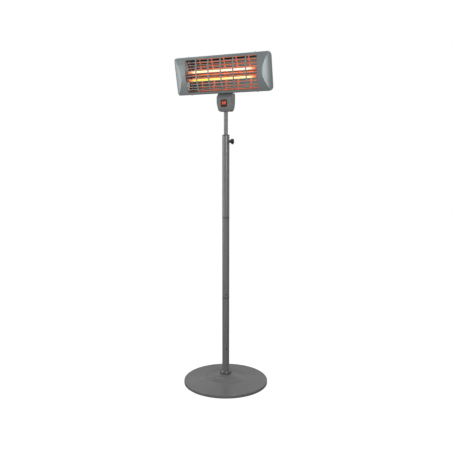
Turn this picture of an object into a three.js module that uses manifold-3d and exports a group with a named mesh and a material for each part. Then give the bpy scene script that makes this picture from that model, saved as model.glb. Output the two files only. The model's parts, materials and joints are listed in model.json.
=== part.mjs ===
// Infrared patio heater tower: a heater head on a height-adjustable mast and a round base.
// Millimetres. X to the right, Y to the back, Z up. The origin is on the floor, under the pole.
import * as THREE from "three";
import { mergeVertices } from "three/addons/utils/BufferGeometryUtils.js";
import Module from "manifold-3d";

const wasm = await Module();
wasm.setup();

// ---------------------------------------------------------------- clearances
const SEAT_GAP = 0.3; // between pieces that rest on or hold each other
const RUN_GAP = 0.3; // between pieces that turn or slide past each other
const CUT_OVER = 2; // how far a cutting solid reaches past the wall it cuts

// ---------------------------------------------------------------- base
const BASE_RADIUS = 226;
const COVER_SHEET = 2; // pressed steel
const COVER_CLEARANCE = 2.5; // edge of the cover above the floor
const RIM_HEIGHT = 18;
const RIM_ROUND = 4;
const OUTER_STEP_RADIUS = 108;
const OUTER_STEP_HEIGHT = 33;
const INNER_STEP_RADIUS = 65;
const INNER_STEP_HEIGHT = 45;
const STEP_RISE = 3;
const STEP_RUN = 5;
const HUB_RADIUS = 33;
const HUB_HEIGHT = 51;
const WEIGHT_INSET = 18; // inside the cover's edge
const WEIGHT_UNDERSIDE = 6;
const WEIGHT_HUB_HEIGHT = 40;
const FOOT_RADIUS = 14;
const FOOT_INSET = 24; // centre of a foot inside the weight's edge
const FOOT_COUNT = 4;
const COLLAR_RADIUS = 31;
const COLLAR_HEIGHT = 18;
const BOLT_RADIUS = 6;
const BOLT_HEAD_RADIUS = 10.5;
const BOLT_HEAD_HEIGHT = 7;
const WASHER_RADIUS = 14;
const WASHER_THICKNESS = 2.5;

// ---------------------------------------------------------------- pole
const POLE_RADIUS = 19;
const POLE_WALL = 1.5;
const POLE_SECTION = 428;
const SEAM_BEAD = 3; // height of the bead that shows between two sections
const SEAM_BEAD_PROUD = 0.8;
const COUPLING_REACH = 30; // into each section
const COUPLING_WALL = 2.5;
const SPIGOT_REACH = 168; // how far the foot spigot stands up inside the lowest section
const SPIGOT_WALL = 2.5;
const SPIGOT_PLUG = 14;
const LOWER_SCREW_ABOVE_FOOT = 150;
const MIDDLE_SCREW_ABOVE_SEAM = 18;
const SCREW_AZIMUTH = THREE.MathUtils.degToRad(33); // from the front towards +X
const SCREW_HEAD_RADIUS = 3.4;
const SCREW_HEAD_HEIGHT = 1.6;
const SCREW_SHANK_RADIUS = 2;

// ---------------------------------------------------------------- mast and height clamp
const MAST_RADIUS = 10.5;
const MAST_WALL = 1.5;
const MAST_SHOWING = 119.5; // between the pole's bush and the control box
const MAST_INSIDE_POLE = 290;
const GUIDE_HEIGHT = 35;
const BUSH_REACH = 58;
const BUSH_LIP = 3.6;
const CLAMP_BELOW_TOP = 30.5;
const CLAMP_NUT_RADIUS = 8;
const CLAMP_NUT_PROUD = 4;
const CLAMP_SCREW_RADIUS = 4;
const CLAMP_PAD_RADIUS = 3.6;
const CLAMP_PAD_LENGTH = 3;
const CLAMP_PAD_TOUCH = 0.15;
const KNOB_STANDOFF = 1.5; // between the nut and the knob when the clamp is tight
const KNOB_LENGTH = 18;
const KNOB_NECK_RADIUS = 7.5;
const KNOB_VALLEY_RADIUS = 11.5;
const KNOB_LOBE_RADIUS = 15.5;
const KNOB_LOBES = 5;

// ---------------------------------------------------------------- control box
const BOX_HEIGHT = 92.5;
const BOX_TOP_HALF_WIDTH = 40;
const BOX_SHOULDER_HALF_WIDTH = 42;
const BOX_BOTTOM_HALF_WIDTH = 28;
const BOX_CORNER_RUN = 6; // the curved lower corners, seen from the front
const BOX_HALF_DEPTH = 30;
const BOX_BOTTOM_HALF_DEPTH = 18;
const BOX_FACET_DROP = 25; // the sloping facet above the front face
const BOX_FACET_RUN = 23;
const BOX_CHIN = 11; // the chamfer under the front face
const BOX_FACE_LEAN = 5; // the front face is this much further back at its chin
const BOX_EDGE_ROUND = 7;
const BOX_WALL = 2.2;
const BOX_SPLIT = 5; // the joint between the two shells, behind the mast's axis
const SOCKET_RADIUS = 15;
const SOCKET_FLANGE_RADIUS = 16.5;
const SOCKET_FLANGE = 3;
const SOCKET_HEIGHT = 20;
const SWITCH_HEIGHT = 39.5; // centre of the switch above the bottom of the box
const BEZEL_WIDTH = 32;
const BEZEL_HEIGHT = 37;
const BEZEL_NECK_WIDTH = 27;
const BEZEL_NECK_HEIGHT = 31;
const BEZEL_PROUD = 2;
const BEZEL_DEPTH = 13;
const ROCKER_WIDTH = 10.6;
const ROCKER_RADIUS = 12.1;
const ROCKER_SPACING = 11.2;
const ROCKER_PIVOT_DEPTH = 4.4;
const ROCKER_TIP_FORWARD = 2.4;
const ROCKER_MIDDLE_FORWARD = 0.6;
const ROCKER_BACK = 4.5;
const ROCKER_TIP = THREE.MathUtils.degToRad(8);
const WINDOW_WIDTH = 22.6;
const WINDOW_HEIGHT = 25;
const SWITCH_BODY_DEPTH = 18;
const TERMINAL_WIDTH = 34;
const TERMINAL_DEPTH = 12;
const TERMINAL_HEIGHT = 16;
const GLAND_RADIUS = 9;
const GLAND_LENGTH = 15;
const GLAND_NECK_RADIUS = 6;
const GLAND_NECK = 7;
const GLAND_HEIGHT = 22; // above the bottom of the box
const BOX_SCREW_SPACING = 44;
const BOX_SCREW_HEIGHT = 72;
const PANEL_SCREW_HEAD = 3.6;
const PANEL_SCREW_HEAD_HEIGHT = 2;
const PANEL_SCREW_SHANK = 1.8;
const TERMINAL_CENTRE = 56; // above the bottom of the box

// ---------------------------------------------------------------- tilt hinge
const PIVOT_BACK = -2; // Y of the hinge axis
const PIVOT_ABOVE_BOX = 10;
const PIVOT_RADIUS = 4;
const EAR_RADIUS = 8;
const EAR_THICKNESS = 3;
const FORK_PLATE = 2.5;
const FORK_LENGTH = 26;
const FORK_HALF_WIDTH = 23;
const LUG_HALF_WIDTH = 9.3;
const LUG_RADIUS = 6.8;
const LUG_FLANGE = 3;
const LUG_FLANGE_HALF_WIDTH = 26;
const LUG_SCREW_SPACING = 36;
const LUG_SCREW_ALONG = 34; // from the lower edge of the sloping wall
const LUG_FLANGE_LENGTH = 20;
const PIVOT_HEAD_RADIUS = 6.5;
const PIVOT_HEAD_THICKNESS = 4.5;

// ---------------------------------------------------------------- heater head
const HEAD_FACE_BACK = -77; // Y of the middle of the face
const HEAD_FACE_ABOVE_PIVOT = 71.6;
const HEAD_TILT = THREE.MathUtils.degToRad(14.1); // the face looks down by this
const HEAD_HALF_WIDTH = 261.5;
const HEAD_HALF_HEIGHT = 94.5;
const HEAD_CORNER = 20;
const FACE_RADIUS = 215; // the face is a barrel about a level axis
const FACE_HALF_HEIGHT = 89; // where the barrel ends and the shoulder curves back
const SHOULDER_DEPTH = 28;
const CRESCENT_WIDTH = 43; // of the rolled end at mid height
const CRESCENT_BEND_INSET = 12; // the corner that the rolled end curves round, inside the end
const CRESCENT_BEND_DEPTH = 14;
const CRESCENT_DEPTH = 30; // how far back the rolled end becomes square
const CRESCENT_LEAD = 3; // how far it is carried on in front of the face
const FRAME_DEPTH = 38;
const FRAME_WALL = 2.5;
const OPENING_HALF_WIDTH = 194;
const OPENING_HALF_HEIGHT = 81;
const OPENING_CORNER = 8;
const BAR_WIDTH = 7;
const BAR_THICKNESS = 2.2;
const BAR_PITCH = 67.2;
const BAR_COUNT = 5;
const ROD_RADIUS = 2;
const ROD_WELD = 0.3; // how deep a rod sinks into a bar
const SLOT_COUNT = 12;
const GUARD_OVERLAP = 6; // how far the guard reaches behind the frame
const EDGE_ROD_OVERLAP = 3;
const TUBE_HEIGHT = 20.25; // above and below the middle of the head
const TUBE_DEPTH = 24;
const TUBE_RADIUS = 6;
const TUBE_WALL = 1.2;
const TUBE_HALF_LENGTH = 188;
const COIL_HALF_LENGTH = 196;
const COIL_RADIUS = 3;
const CAP_RADIUS = 8;
const CAP_GRIP = 8; // how far a cap reaches over its tube
const CAP_LENGTH = 32;
const END_PLATE_AT = 204;
const END_PLATE_THICKNESS = 1.5;
const END_PLATE_HALF_HEIGHT = 76;
const END_PLATE_FRONT = 10.5; // behind the face
const REFLECTOR_HALF_LENGTH = 212;
const REFLECTOR_SHEET = 1;
const REFLECTOR_DEPTH = 42;
const REFLECTOR_RIDGE = 8; // the fold between the two tubes
const REFLECTOR_RIDGE_WIDTH = 8;
const REFLECTOR_RISE = 9; // how far its edges come forward
const REFLECTOR_EDGE = 86; // half height where the curve ends and the level lip starts
const HOUSING_START = 31;
const HOUSING_SLOPE_START = 38;
const HOUSING_SLOPE_END = 74;
const HOUSING_BACK = 94;
const HOUSING_SLOPE_HALF_HEIGHT = 60;
const HOUSING_BACK_HALF_HEIGHT = 50;
const HOUSING_SLOPE_HALF_WIDTH = 226;
const HOUSING_BACK_HALF_WIDTH = 205;
const HOUSING_SHEET = 1.5;
const VENT_COUNT = 9;
const VENT_PITCH = 40;
const VENT_LENGTH = 28;
const VENT_HEIGHT = 5;
const VENT_OFFSET = 30;
const HEAD_GLAND_ACROSS = 60;
const FRAME_SCREW_INSET = 81.5; // from the ends of the head
const FRAME_SCREW_BACK = 34.5;

// ---------------------------------------------------------------- finishes
function finish(color, roughness, metalness) {
  return new THREE.MeshStandardMaterial({ color, roughness, metalness });
}
const STAND_GREY = finish(0x6e6e6e, 0.55, 0.3);
const FRAME_GREY = finish(0x868e90, 0.4, 0.6);
const CAST_IRON = finish(0x3c3c3c, 0.8, 0.6);
const BLACK_PLASTIC = finish(0x2a2a2a, 0.6, 0);
const COLLAR_GREY = finish(0x4a4a4a, 0.3, 0.1);
const RUBBER = finish(0x1c1c1c, 0.9, 0);
const ZINC = finish(0xb4b6b8, 0.35, 0.9);
const POLISHED = finish(0xd8d8d8, 0.12, 1);
const QUARTZ = finish(0xfff0c0, 0.3, 0);
const CERAMIC = finish(0xe8dcd4, 0.7, 0);
const COIL = finish(0xd06020, 0.6, 0.6);
const LIT_RED = finish(0xe83a20, 0.35, 0);

// ---------------------------------------------------------------- shaping helpers
const ALONG_X = new THREE.Matrix4().makeBasis(
  new THREE.Vector3(0, 1, 0),
  new THREE.Vector3(0, 0, 1),
  new THREE.Vector3(1, 0, 0),
); // a (y, z) outline, extruded along X
const ALONG_Y = new THREE.Matrix4().makeBasis(
  new THREE.Vector3(1, 0, 0),
  new THREE.Vector3(0, 0, 1),
  new THREE.Vector3(0, -1, 0),
); // an (x, z) outline, extruded along -Y

function toSolid(geometry) {
  const bare = geometry.clone();
  bare.deleteAttribute("normal");
  bare.deleteAttribute("uv");
  const merged = mergeVertices(bare, 1e-4);
  const mesh = new wasm.Mesh({
    numProp: 3,
    vertProperties: merged.attributes.position.array,
    triVerts: new Uint32Array(merged.index.array),
  });
  return new wasm.Manifold(mesh);
}

function toGeometry(solid) {
  const mesh = solid.getMesh();
  const geometry = new THREE.BufferGeometry();
  const points = new Float32Array(mesh.vertProperties);
  geometry.setAttribute("position", new THREE.BufferAttribute(points, 3));
  geometry.setIndex(new THREE.BufferAttribute(new Uint32Array(mesh.triVerts), 1));
  geometry.computeVertexNormals();
  return geometry;
}

function joined(...geometries) {
  return toGeometry(geometries.map(toSolid).reduce((all, next) => all.add(next)));
}

function cut(geometry, ...tools) {
  return toGeometry(tools.map(toSolid).reduce((rest, tool) => rest.subtract(tool), toSolid(geometry)));
}

function common(...geometries) {
  return toGeometry(geometries.map(toSolid).reduce((all, next) => all.intersect(next)));
}

// A turned body about Z. The profile runs counter-clockwise in (radius, height).
function turned(profile, sides) {
  const points = profile.map(([radius, height]) => new THREE.Vector2(radius, height));
  if (profile[0][0] > 0) points.push(points[0].clone());
  return new THREE.LatheGeometry(points, sides).rotateX(Math.PI / 2);
}

function tube(outer, inner, bottom, top, sides) {
  return turned([[inner, bottom], [outer, bottom], [outer, top], [inner, top]], sides);
}

function rod(radius, bottom, top, sides) {
  return turned([[0, bottom], [radius, bottom], [radius, top], [0, top]], sides);
}

// The same, lying along X or Y instead of standing along Z.
function layAlongX(geometry) {
  return geometry.rotateY(Math.PI / 2);
}

function layAlongY(geometry) {
  return geometry.rotateX(-Math.PI / 2);
}

function outline(points) {
  return new THREE.Shape(points.map(([a, b]) => new THREE.Vector2(a, b)));
}

function extruded(shape, length, curveSegments = 6) {
  return new THREE.ExtrudeGeometry(shape, { depth: length, bevelEnabled: false, curveSegments });
}

// A side outline (y, z), centred along X.
function acrossX(shape, width, curveSegments) {
  return extruded(shape, width, curveSegments).translate(0, 0, -width / 2).applyMatrix4(ALONG_X);
}

// A front outline (x, z), from y = front to y = back.
function throughY(shape, front, back, curveSegments) {
  return extruded(shape, back - front, curveSegments).applyMatrix4(ALONG_Y).translate(0, back, 0);
}

function roundedRectangle(halfWidth, halfHeight, radius) {
  const shape = new THREE.Shape();
  const w = halfWidth - radius;
  const h = halfHeight - radius;
  shape.absarc(w, h, radius, 0, Math.PI / 2);
  shape.absarc(-w, h, radius, Math.PI / 2, Math.PI);
  shape.absarc(-w, -h, radius, Math.PI, 1.5 * Math.PI);
  shape.absarc(w, -h, radius, 1.5 * Math.PI, 2 * Math.PI);
  return shape;
}

function block(width, depth, height) {
  return new THREE.BoxGeometry(width, depth, height);
}

function hexagon(radius, bottom, top) {
  return rod(radius, bottom, top, 6);
}

function piece(parent, name, geometry, material) {
  const mesh = new THREE.Mesh(geometry, material);
  mesh.name = name;
  parent.add(mesh);
  return mesh;
}

// Points along an arc about a centre, and along a quadratic curve.
function arcPoints([centreA, centreB], radius, from, to, steps) {
  return Array.from({ length: steps + 1 }, (_, i) => {
    const angle = from + ((to - from) * i) / steps;
    return [centreA + radius * Math.cos(angle), centreB + radius * Math.sin(angle)];
  });
}

function curvePoints(from, control, to, steps) {
  const corners = [from, control, to].map(([a, b]) => new THREE.Vector2(a, b));
  return new THREE.QuadraticBezierCurve(...corners).getPoints(steps).map((p) => [p.x, p.y]);
}

// A symmetric outline from its right half, which runs upwards.
function mirrored(rightHalf) {
  return [...rightHalf, ...rightHalf.slice().reverse().map(([a, b]) => [-a, b])];
}

// A convex counter-clockwise outline, moved inwards by a distance all round.
function drawnIn(points, distance) {
  const count = points.length;
  const edges = points.map(([a, b], i) => {
    const [nextA, nextB] = points[(i + 1) % count];
    const length = Math.hypot(nextA - a, nextB - b);
    const inwards = [(b - nextB) / length, (nextA - a) / length];
    return { inwards, reach: inwards[0] * a + inwards[1] * b + distance };
  });
  return edges.map((edge, i) => {
    const last = edges[(i + count - 1) % count];
    const turn = last.inwards[0] * edge.inwards[1] - last.inwards[1] * edge.inwards[0];
    return [
      (last.reach * edge.inwards[1] - edge.reach * last.inwards[1]) / turn,
      (last.inwards[0] * edge.reach - edge.inwards[0] * last.reach) / turn,
    ];
  });
}

// A pan-head screw standing on z = 0 with its shank below.
function screw(headRadius, headHeight, shankRadius, shankLength) {
  const head = rod(headRadius, SEAT_GAP, SEAT_GAP + headHeight, 12);
  return joined(head, rod(shankRadius, -shankLength, SEAT_GAP + headHeight / 2, 8));
}

// A cable gland standing on z = 0 with its neck below and its bore open.
function gland() {
  const nutTop = GLAND_LENGTH * 0.45;
  const cap = turned(
    [
      [0, nutTop - 1],
      [GLAND_RADIUS * 0.85, nutTop - 1],
      [GLAND_RADIUS * 0.8, GLAND_LENGTH * 0.75],
      [GLAND_RADIUS * 0.6, GLAND_LENGTH],
      [0, GLAND_LENGTH],
    ],
    16,
  );
  const neck = rod(GLAND_NECK_RADIUS, -GLAND_NECK, SEAT_GAP + 1, 12);
  const bore = rod(GLAND_NECK_RADIUS * 0.6, -GLAND_NECK - CUT_OVER, GLAND_LENGTH + CUT_OVER, 12);
  return cut(joined(hexagon(GLAND_RADIUS, SEAT_GAP, nutTop), cap, neck), bore);
}

const heater = new THREE.Group();

// ================================================================ base
const weightRadius = BASE_RADIUS - WEIGHT_INSET;
const footCircle = weightRadius - FOOT_INSET;
const poleBore = POLE_RADIUS - POLE_WALL;
const insertRadius = poleBore - SEAT_GAP; // of what sits inside the pole
const poleHole = POLE_RADIUS + SEAT_GAP; // of what sits round the pole
const poleFoot = WEIGHT_HUB_HEIGHT + SEAT_GAP;
const boltBore = BOLT_RADIUS + SEAT_GAP;
const pocketTop = WEIGHT_UNDERSIDE + BOLT_HEAD_HEIGHT + WASHER_THICKNESS + 2;
const washerBottom = pocketTop - SEAT_GAP - WASHER_THICKNESS;
const plugTop = poleFoot + SPIGOT_PLUG;
const lowerScrewHeight = poleFoot + LOWER_SCREW_ABOVE_FOOT;

// Radius and height of the two steps on the cover, from the rim inwards.
const coverSteps = [
  [OUTER_STEP_RADIUS + STEP_RUN, OUTER_STEP_HEIGHT - STEP_RISE],
  [OUTER_STEP_RADIUS, OUTER_STEP_HEIGHT],
  [INNER_STEP_RADIUS + STEP_RUN, INNER_STEP_HEIGHT - STEP_RISE],
  [INNER_STEP_RADIUS, INNER_STEP_HEIGHT],
  [HUB_RADIUS, HUB_HEIGHT],
];

function makeCover() {
  const rimCentre = [BASE_RADIUS - RIM_ROUND, RIM_HEIGHT - RIM_ROUND];
  const top = [...arcPoints(rimCentre, RIM_ROUND, 0, Math.PI / 2, 2), ...coverSteps];
  const insideRim = [BASE_RADIUS - RIM_ROUND, RIM_HEIGHT - COVER_SHEET];
  const insideSteps = coverSteps.map(([r, z]) => [r - COVER_SHEET, z - COVER_SHEET]);
  const inside = [insideRim, ...insideSteps].reverse();
  return turned(
    [
      [BASE_RADIUS - COVER_SHEET, COVER_CLEARANCE],
      [BASE_RADIUS, COVER_CLEARANCE],
      ...top,
      [poleHole, HUB_HEIGHT],
      [poleHole, HUB_HEIGHT - COVER_SHEET],
      ...inside,
    ],
    36,
  );
}

function makeWeight() {
  const under = COVER_SHEET + SEAT_GAP;
  const pocket = WASHER_RADIUS + 2;
  const [[outerRadius, outerHeight], [stepRadius, stepHeight]] = coverSteps;
  return turned(
    [
      [pocket, WEIGHT_UNDERSIDE],
      [weightRadius, WEIGHT_UNDERSIDE],
      [weightRadius, RIM_HEIGHT - under - 1],
      [outerRadius - under, outerHeight - under],
      [stepRadius - under, stepHeight - under],
      [INNER_STEP_RADIUS, WEIGHT_HUB_HEIGHT],
      [boltBore, WEIGHT_HUB_HEIGHT],
      [boltBore, pocketTop],
      [pocket, pocketTop],
    ],
    16,
  );
}

function makeFoot() {
  const chamfer = 1;
  const top = WEIGHT_UNDERSIDE - SEAT_GAP;
  const profile = [
    [0, 0],
    [FOOT_RADIUS - chamfer, 0],
    [FOOT_RADIUS, chamfer],
    [FOOT_RADIUS, top],
    [0, top],
  ];
  return turned(profile, 14);
}

function makeCollar() {
  const bottom = HUB_HEIGHT + SEAT_GAP;
  const shoulder = COLLAR_HEIGHT * 0.25;
  const spread = COLLAR_RADIUS - poleHole;
  const dome = arcPoints([0, 0], 1, 0, Math.PI / 2, 4).map(([out, up]) => [
    poleHole + spread * out,
    bottom + shoulder + (COLLAR_HEIGHT - shoulder) * up,
  ]);
  return turned([[poleHole, bottom], [COLLAR_RADIUS, bottom], ...dome], 24);
}

function makeBaseBolt() {
  const headTop = washerBottom - SEAT_GAP;
  const head = hexagon(BOLT_HEAD_RADIUS, headTop - BOLT_HEAD_HEIGHT, headTop);
  return joined(head, rod(BOLT_RADIUS, headTop - 1, plugTop - 4, 20));
}

// A rod that points from the pole's axis towards its screws, at a height.
function radialRod(radius, height, from, to) {
  const towardsScrew = SCREW_AZIMUTH - Math.PI / 2;
  return layAlongX(rod(radius, from, to, 12)).rotateZ(towardsScrew).translate(0, 0, height);
}

function screwHole(height) {
  return radialRod(SCREW_SHANK_RADIUS + SEAT_GAP, height, MAST_RADIUS, POLE_RADIUS + CUT_OVER);
}

function makeSpigot() {
  const top = poleFoot + SPIGOT_REACH;
  const inner = insertRadius - SPIGOT_WALL;
  const profile = [
    [0, poleFoot],
    [insertRadius, poleFoot],
    [insertRadius, top],
    [inner, top],
    [inner, plugTop],
    [0, plugTop],
  ];
  const boltHole = rod(boltBore, poleFoot - CUT_OVER, plugTop - 3, 20);
  return cut(turned(profile, 16), boltHole, screwHole(lowerScrewHeight));
}

piece(heater, "base_cover", makeCover(), STAND_GREY);
piece(heater, "base_weight", makeWeight(), CAST_IRON);
for (let i = 0; i < FOOT_COUNT; i += 1) {
  const foot = piece(heater, `foot_${i + 1}`, makeFoot(), RUBBER);
  const angle = (2 * Math.PI * (i + 0.5)) / FOOT_COUNT;
  foot.position.set(footCircle * Math.cos(angle), footCircle * Math.sin(angle), 0);
}
piece(heater, "base_bolt", makeBaseBolt(), ZINC);
piece(heater, "base_washer", tube(WASHER_RADIUS, boltBore, washerBottom, pocketTop - SEAT_GAP, 24), ZINC);
piece(heater, "foot_spigot", makeSpigot(), ZINC);
piece(heater, "pole_collar", makeCollar(), COLLAR_GREY);

// ================================================================ pole
const sectionPitch = POLE_SECTION + SEAM_BEAD + 2 * SEAT_GAP;
const sectionBottoms = [0, 1, 2].map((i) => poleFoot + i * sectionPitch);
const poleTop = sectionBottoms[2] + POLE_SECTION;
const middleScrewHeight = sectionBottoms[1] + MIDDLE_SCREW_ABOVE_SEAM;
const clampHeight = poleTop - CLAMP_BELOW_TOP;
const clampBore = CLAMP_SCREW_RADIUS + RUN_GAP;

function clampHole(to) {
  return layAlongX(rod(clampBore, 0, to, 20)).translate(0, 0, clampHeight);
}

function makeSection(index, hole) {
  const bottom = sectionBottoms[index];
  return cut(tube(POLE_RADIUS, poleBore, bottom, bottom + POLE_SECTION, 20), hole);
}

// The sleeve that joins a section to the one above it.
function makeCoupling(index) {
  const seam = sectionBottoms[index] + POLE_SECTION;
  const beadBottom = seam + SEAT_GAP;
  const beadTop = beadBottom + SEAM_BEAD;
  const beadRadius = POLE_RADIUS + SEAM_BEAD_PROUD;
  const inner = insertRadius - COUPLING_WALL;
  return turned(
    [
      [inner, seam - COUPLING_REACH],
      [insertRadius, seam - COUPLING_REACH],
      [insertRadius, beadBottom],
      [POLE_RADIUS, beadBottom],
      [beadRadius, beadBottom + SEAM_BEAD / 3],
      [beadRadius, beadTop - SEAM_BEAD / 3],
      [POLE_RADIUS, beadTop],
      [insertRadius, beadTop],
      [insertRadius, beadTop + COUPLING_REACH],
      [inner, beadTop + COUPLING_REACH],
    ],
    16,
  );
}

function makePoleScrew(height) {
  const start = POLE_RADIUS + SEAT_GAP;
  const head = radialRod(SCREW_HEAD_RADIUS, height, start, start + SCREW_HEAD_HEIGHT);
  return joined(head, radialRod(SCREW_SHANK_RADIUS, height, insertRadius - 4, start + 1));
}

piece(heater, "lower_pole", makeSection(0, screwHole(lowerScrewHeight)), STAND_GREY);
piece(heater, "middle_pole", makeSection(1, screwHole(middleScrewHeight)), STAND_GREY);
piece(heater, "upper_pole", makeSection(2, clampHole(POLE_RADIUS + CUT_OVER)), STAND_GREY);
piece(heater, "lower_coupling", cut(makeCoupling(0), screwHole(middleScrewHeight)), ZINC);
piece(heater, "upper_coupling", makeCoupling(1), ZINC);
piece(heater, "lower_pole_screw", makePoleScrew(lowerScrewHeight), ZINC);
piece(heater, "middle_pole_screw", makePoleScrew(middleScrewHeight), ZINC);

// ================================================================ height clamp and mast
const mastBore = MAST_RADIUS + RUN_GAP;
const mastInner = MAST_RADIUS - MAST_WALL;
const bushTop = poleTop + SEAT_GAP + BUSH_LIP;
const boxBottom = bushTop + MAST_SHOWING;
const mastBottom = poleTop - MAST_INSIDE_POLE;
const socketTop = BOX_WALL + SEAT_GAP + SOCKET_HEIGHT; // above the bottom of the box
const mastTop = boxBottom + socketTop - 4;
const clampNutEnd = POLE_RADIUS + CLAMP_NUT_PROUD;
const padStart = MAST_RADIUS + CLAMP_PAD_TOUCH;
const padEnd = padStart + CLAMP_PAD_LENGTH;
const knobStart = clampNutEnd + KNOB_STANDOFF;
const knobEnd = knobStart + KNOB_LENGTH;
const clampScrewEnd = (knobStart + knobEnd) / 2;

function makeBush() {
  const bottom = poleTop - BUSH_REACH;
  const lipBottom = poleTop + SEAT_GAP;
  const lip = arcPoints([0, 0], 1, 0, Math.PI / 2, 3).map(([out, up]) => [
    POLE_RADIUS - 3 + 3 * out,
    lipBottom + BUSH_LIP * (0.4 + 0.6 * up),
  ]);
  const profile = [
    [mastBore, bottom],
    [insertRadius, bottom],
    [insertRadius, lipBottom],
    [POLE_RADIUS, lipBottom],
    ...lip,
    [mastBore, bushTop],
  ];
  return cut(turned(profile, 16), clampHole(POLE_RADIUS));
}

function makeClampNut() {
  const body = layAlongX(rod(CLAMP_NUT_RADIUS, poleBore, clampNutEnd, 28)).translate(0, 0, clampHeight);
  const poleSpace = rod(poleHole, clampHeight - POLE_RADIUS, clampHeight + POLE_RADIUS, 40);
  return cut(body, poleSpace, clampHole(clampNutEnd + CUT_OVER));
}

function makeClampRod(radius, from, to) {
  return layAlongX(rod(radius, from, to, 16)).translate(0, 0, clampHeight);
}

// A star knob: a lobed disc with rounded edges on a flared neck.
function makeClampKnob() {
  const steps = KNOB_LOBES * 8;
  const middle = (KNOB_LOBE_RADIUS + KNOB_VALLEY_RADIUS) / 2;
  const swing = (KNOB_LOBE_RADIUS - KNOB_VALLEY_RADIUS) / 2;
  const star = Array.from({ length: steps }, (_, i) => {
    const angle = (2 * Math.PI * i) / steps;
    const radius = middle + swing * Math.cos(KNOB_LOBES * angle);
    return [radius * Math.cos(angle), radius * Math.sin(angle)];
  });
  const neckEnd = knobStart + KNOB_LENGTH * 0.4;
  const edge = KNOB_LENGTH * 0.15;
  const envelope = turned(
    [
      [0, knobStart],
      [KNOB_NECK_RADIUS, knobStart],
      [KNOB_NECK_RADIUS + 1, (knobStart + neckEnd) / 2],
      [KNOB_LOBE_RADIUS - edge, neckEnd],
      [KNOB_LOBE_RADIUS, neckEnd + edge],
      [KNOB_LOBE_RADIUS, knobEnd - edge],
      [KNOB_LOBE_RADIUS - edge, knobEnd],
      [0, knobEnd],
    ],
    16,
  );
  const disc = extruded(outline(star), KNOB_LENGTH).translate(0, 0, knobStart);
  const bore = rod(CLAMP_SCREW_RADIUS + SEAT_GAP, knobStart - CUT_OVER, clampScrewEnd + SEAT_GAP, 16);
  return layAlongX(cut(common(disc, envelope), bore)).translate(0, 0, clampHeight);
}

// The slider at the mast's lower end, with a ledge that carries the tube.
function makeGuide() {
  const ledge = 3;
  const bottom = mastBottom - SEAT_GAP - ledge;
  const top = bottom + GUIDE_HEIGHT;
  const hole = MAST_RADIUS + SEAT_GAP;
  return turned(
    [
      [mastInner, bottom],
      [insertRadius, bottom],
      [insertRadius, top],
      [hole, top],
      [hole, mastBottom - SEAT_GAP],
      [mastInner, mastBottom - SEAT_GAP],
    ],
    16,
  );
}

piece(heater, "pole_top_bush", makeBush(), BLACK_PLASTIC);
piece(heater, "clamp_nut", makeClampNut(), STAND_GREY);
piece(heater, "clamp_pad", makeClampRod(CLAMP_PAD_RADIUS, padStart, padEnd), RUBBER);
piece(heater, "clamp_screw", makeClampRod(CLAMP_SCREW_RADIUS, padEnd + SEAT_GAP, clampScrewEnd), ZINC);
piece(heater, "clamp_knob", makeClampKnob(), BLACK_PLASTIC);
piece(heater, "inner_tube", tube(MAST_RADIUS, mastInner, mastBottom, mastTop, 20), STAND_GREY);
piece(heater, "inner_tube_guide", makeGuide(), BLACK_PLASTIC);

// ================================================================ control box
// The box is drawn from its own bottom, and the group lifts it to the top of the mast.
const box = new THREE.Group();
box.position.z = boxBottom;
heater.add(box);

const frontChin = BOX_FACE_LEAN - BOX_HALF_DEPTH;
const facetBottom = BOX_HEIGHT - BOX_FACET_DROP;
const faceLean = Math.atan(BOX_FACE_LEAN / (facetBottom - BOX_CHIN));
const switchFace = frontChin - (SWITCH_HEIGHT - BOX_CHIN) * Math.tan(faceLean);
const rearWallInside = BOX_HALF_DEPTH - BOX_WALL;

// The box without its hollow, its walls moved inwards by a distance.
function boxBody(inset) {
  const corner = BOX_BOTTOM_HALF_WIDTH + BOX_CORNER_RUN;
  const cheek = [BOX_SHOULDER_HALF_WIDTH - 1, facetBottom / 2];
  const rightSide = [
    ...curvePoints([BOX_BOTTOM_HALF_WIDTH, 0], [corner - 1, 0], [corner, BOX_CHIN], 4),
    ...curvePoints([corner, BOX_CHIN], cheek, [BOX_SHOULDER_HALF_WIDTH, facetBottom], 4).slice(1),
    [BOX_TOP_HALF_WIDTH, BOX_HEIGHT],
  ];
  const roofStart = [BOX_HALF_DEPTH, BOX_HEIGHT - BOX_EDGE_ROUND];
  const roofEnd = [BOX_HALF_DEPTH - BOX_EDGE_ROUND, BOX_HEIGHT];
  const side = [
    [-BOX_BOTTOM_HALF_DEPTH, 0],
    [BOX_BOTTOM_HALF_DEPTH, 0],
    [BOX_HALF_DEPTH, BOX_CHIN],
    ...curvePoints(roofStart, [BOX_HALF_DEPTH, BOX_HEIGHT], roofEnd, 3),
    [BOX_FACET_RUN - BOX_HALF_DEPTH, BOX_HEIGHT],
    [-BOX_HALF_DEPTH, facetBottom],
    [frontChin, BOX_CHIN],
  ];
  const planHalfWidth = BOX_SHOULDER_HALF_WIDTH - inset;
  const plan = roundedRectangle(planHalfWidth, BOX_HALF_DEPTH - inset, BOX_EDGE_ROUND - inset);
  return common(
    throughY(outline(drawnIn(mirrored(rightSide), inset)), -BOX_HALF_DEPTH - 1, BOX_HALF_DEPTH + 1),
    acrossX(outline(drawnIn(side, inset)), 2 * BOX_SHOULDER_HALF_WIDTH + 2),
    extruded(plan, BOX_HEIGHT + 2, 4).translate(0, 0, -1),
  );
}

function boxHalf(front, back) {
  const hollow = boxBody(BOX_WALL);
  const mastHole = rod(MAST_RADIUS + SEAT_GAP, -CUT_OVER, BOX_WALL + CUT_OVER, 20);
  const slab = block(4 * BOX_SHOULDER_HALF_WIDTH, back - front, 3 * BOX_HEIGHT);
  slab.translate(0, (front + back) / 2, 0);
  return common(cut(boxBody(0), hollow, mastHole), slab);
}

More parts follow.
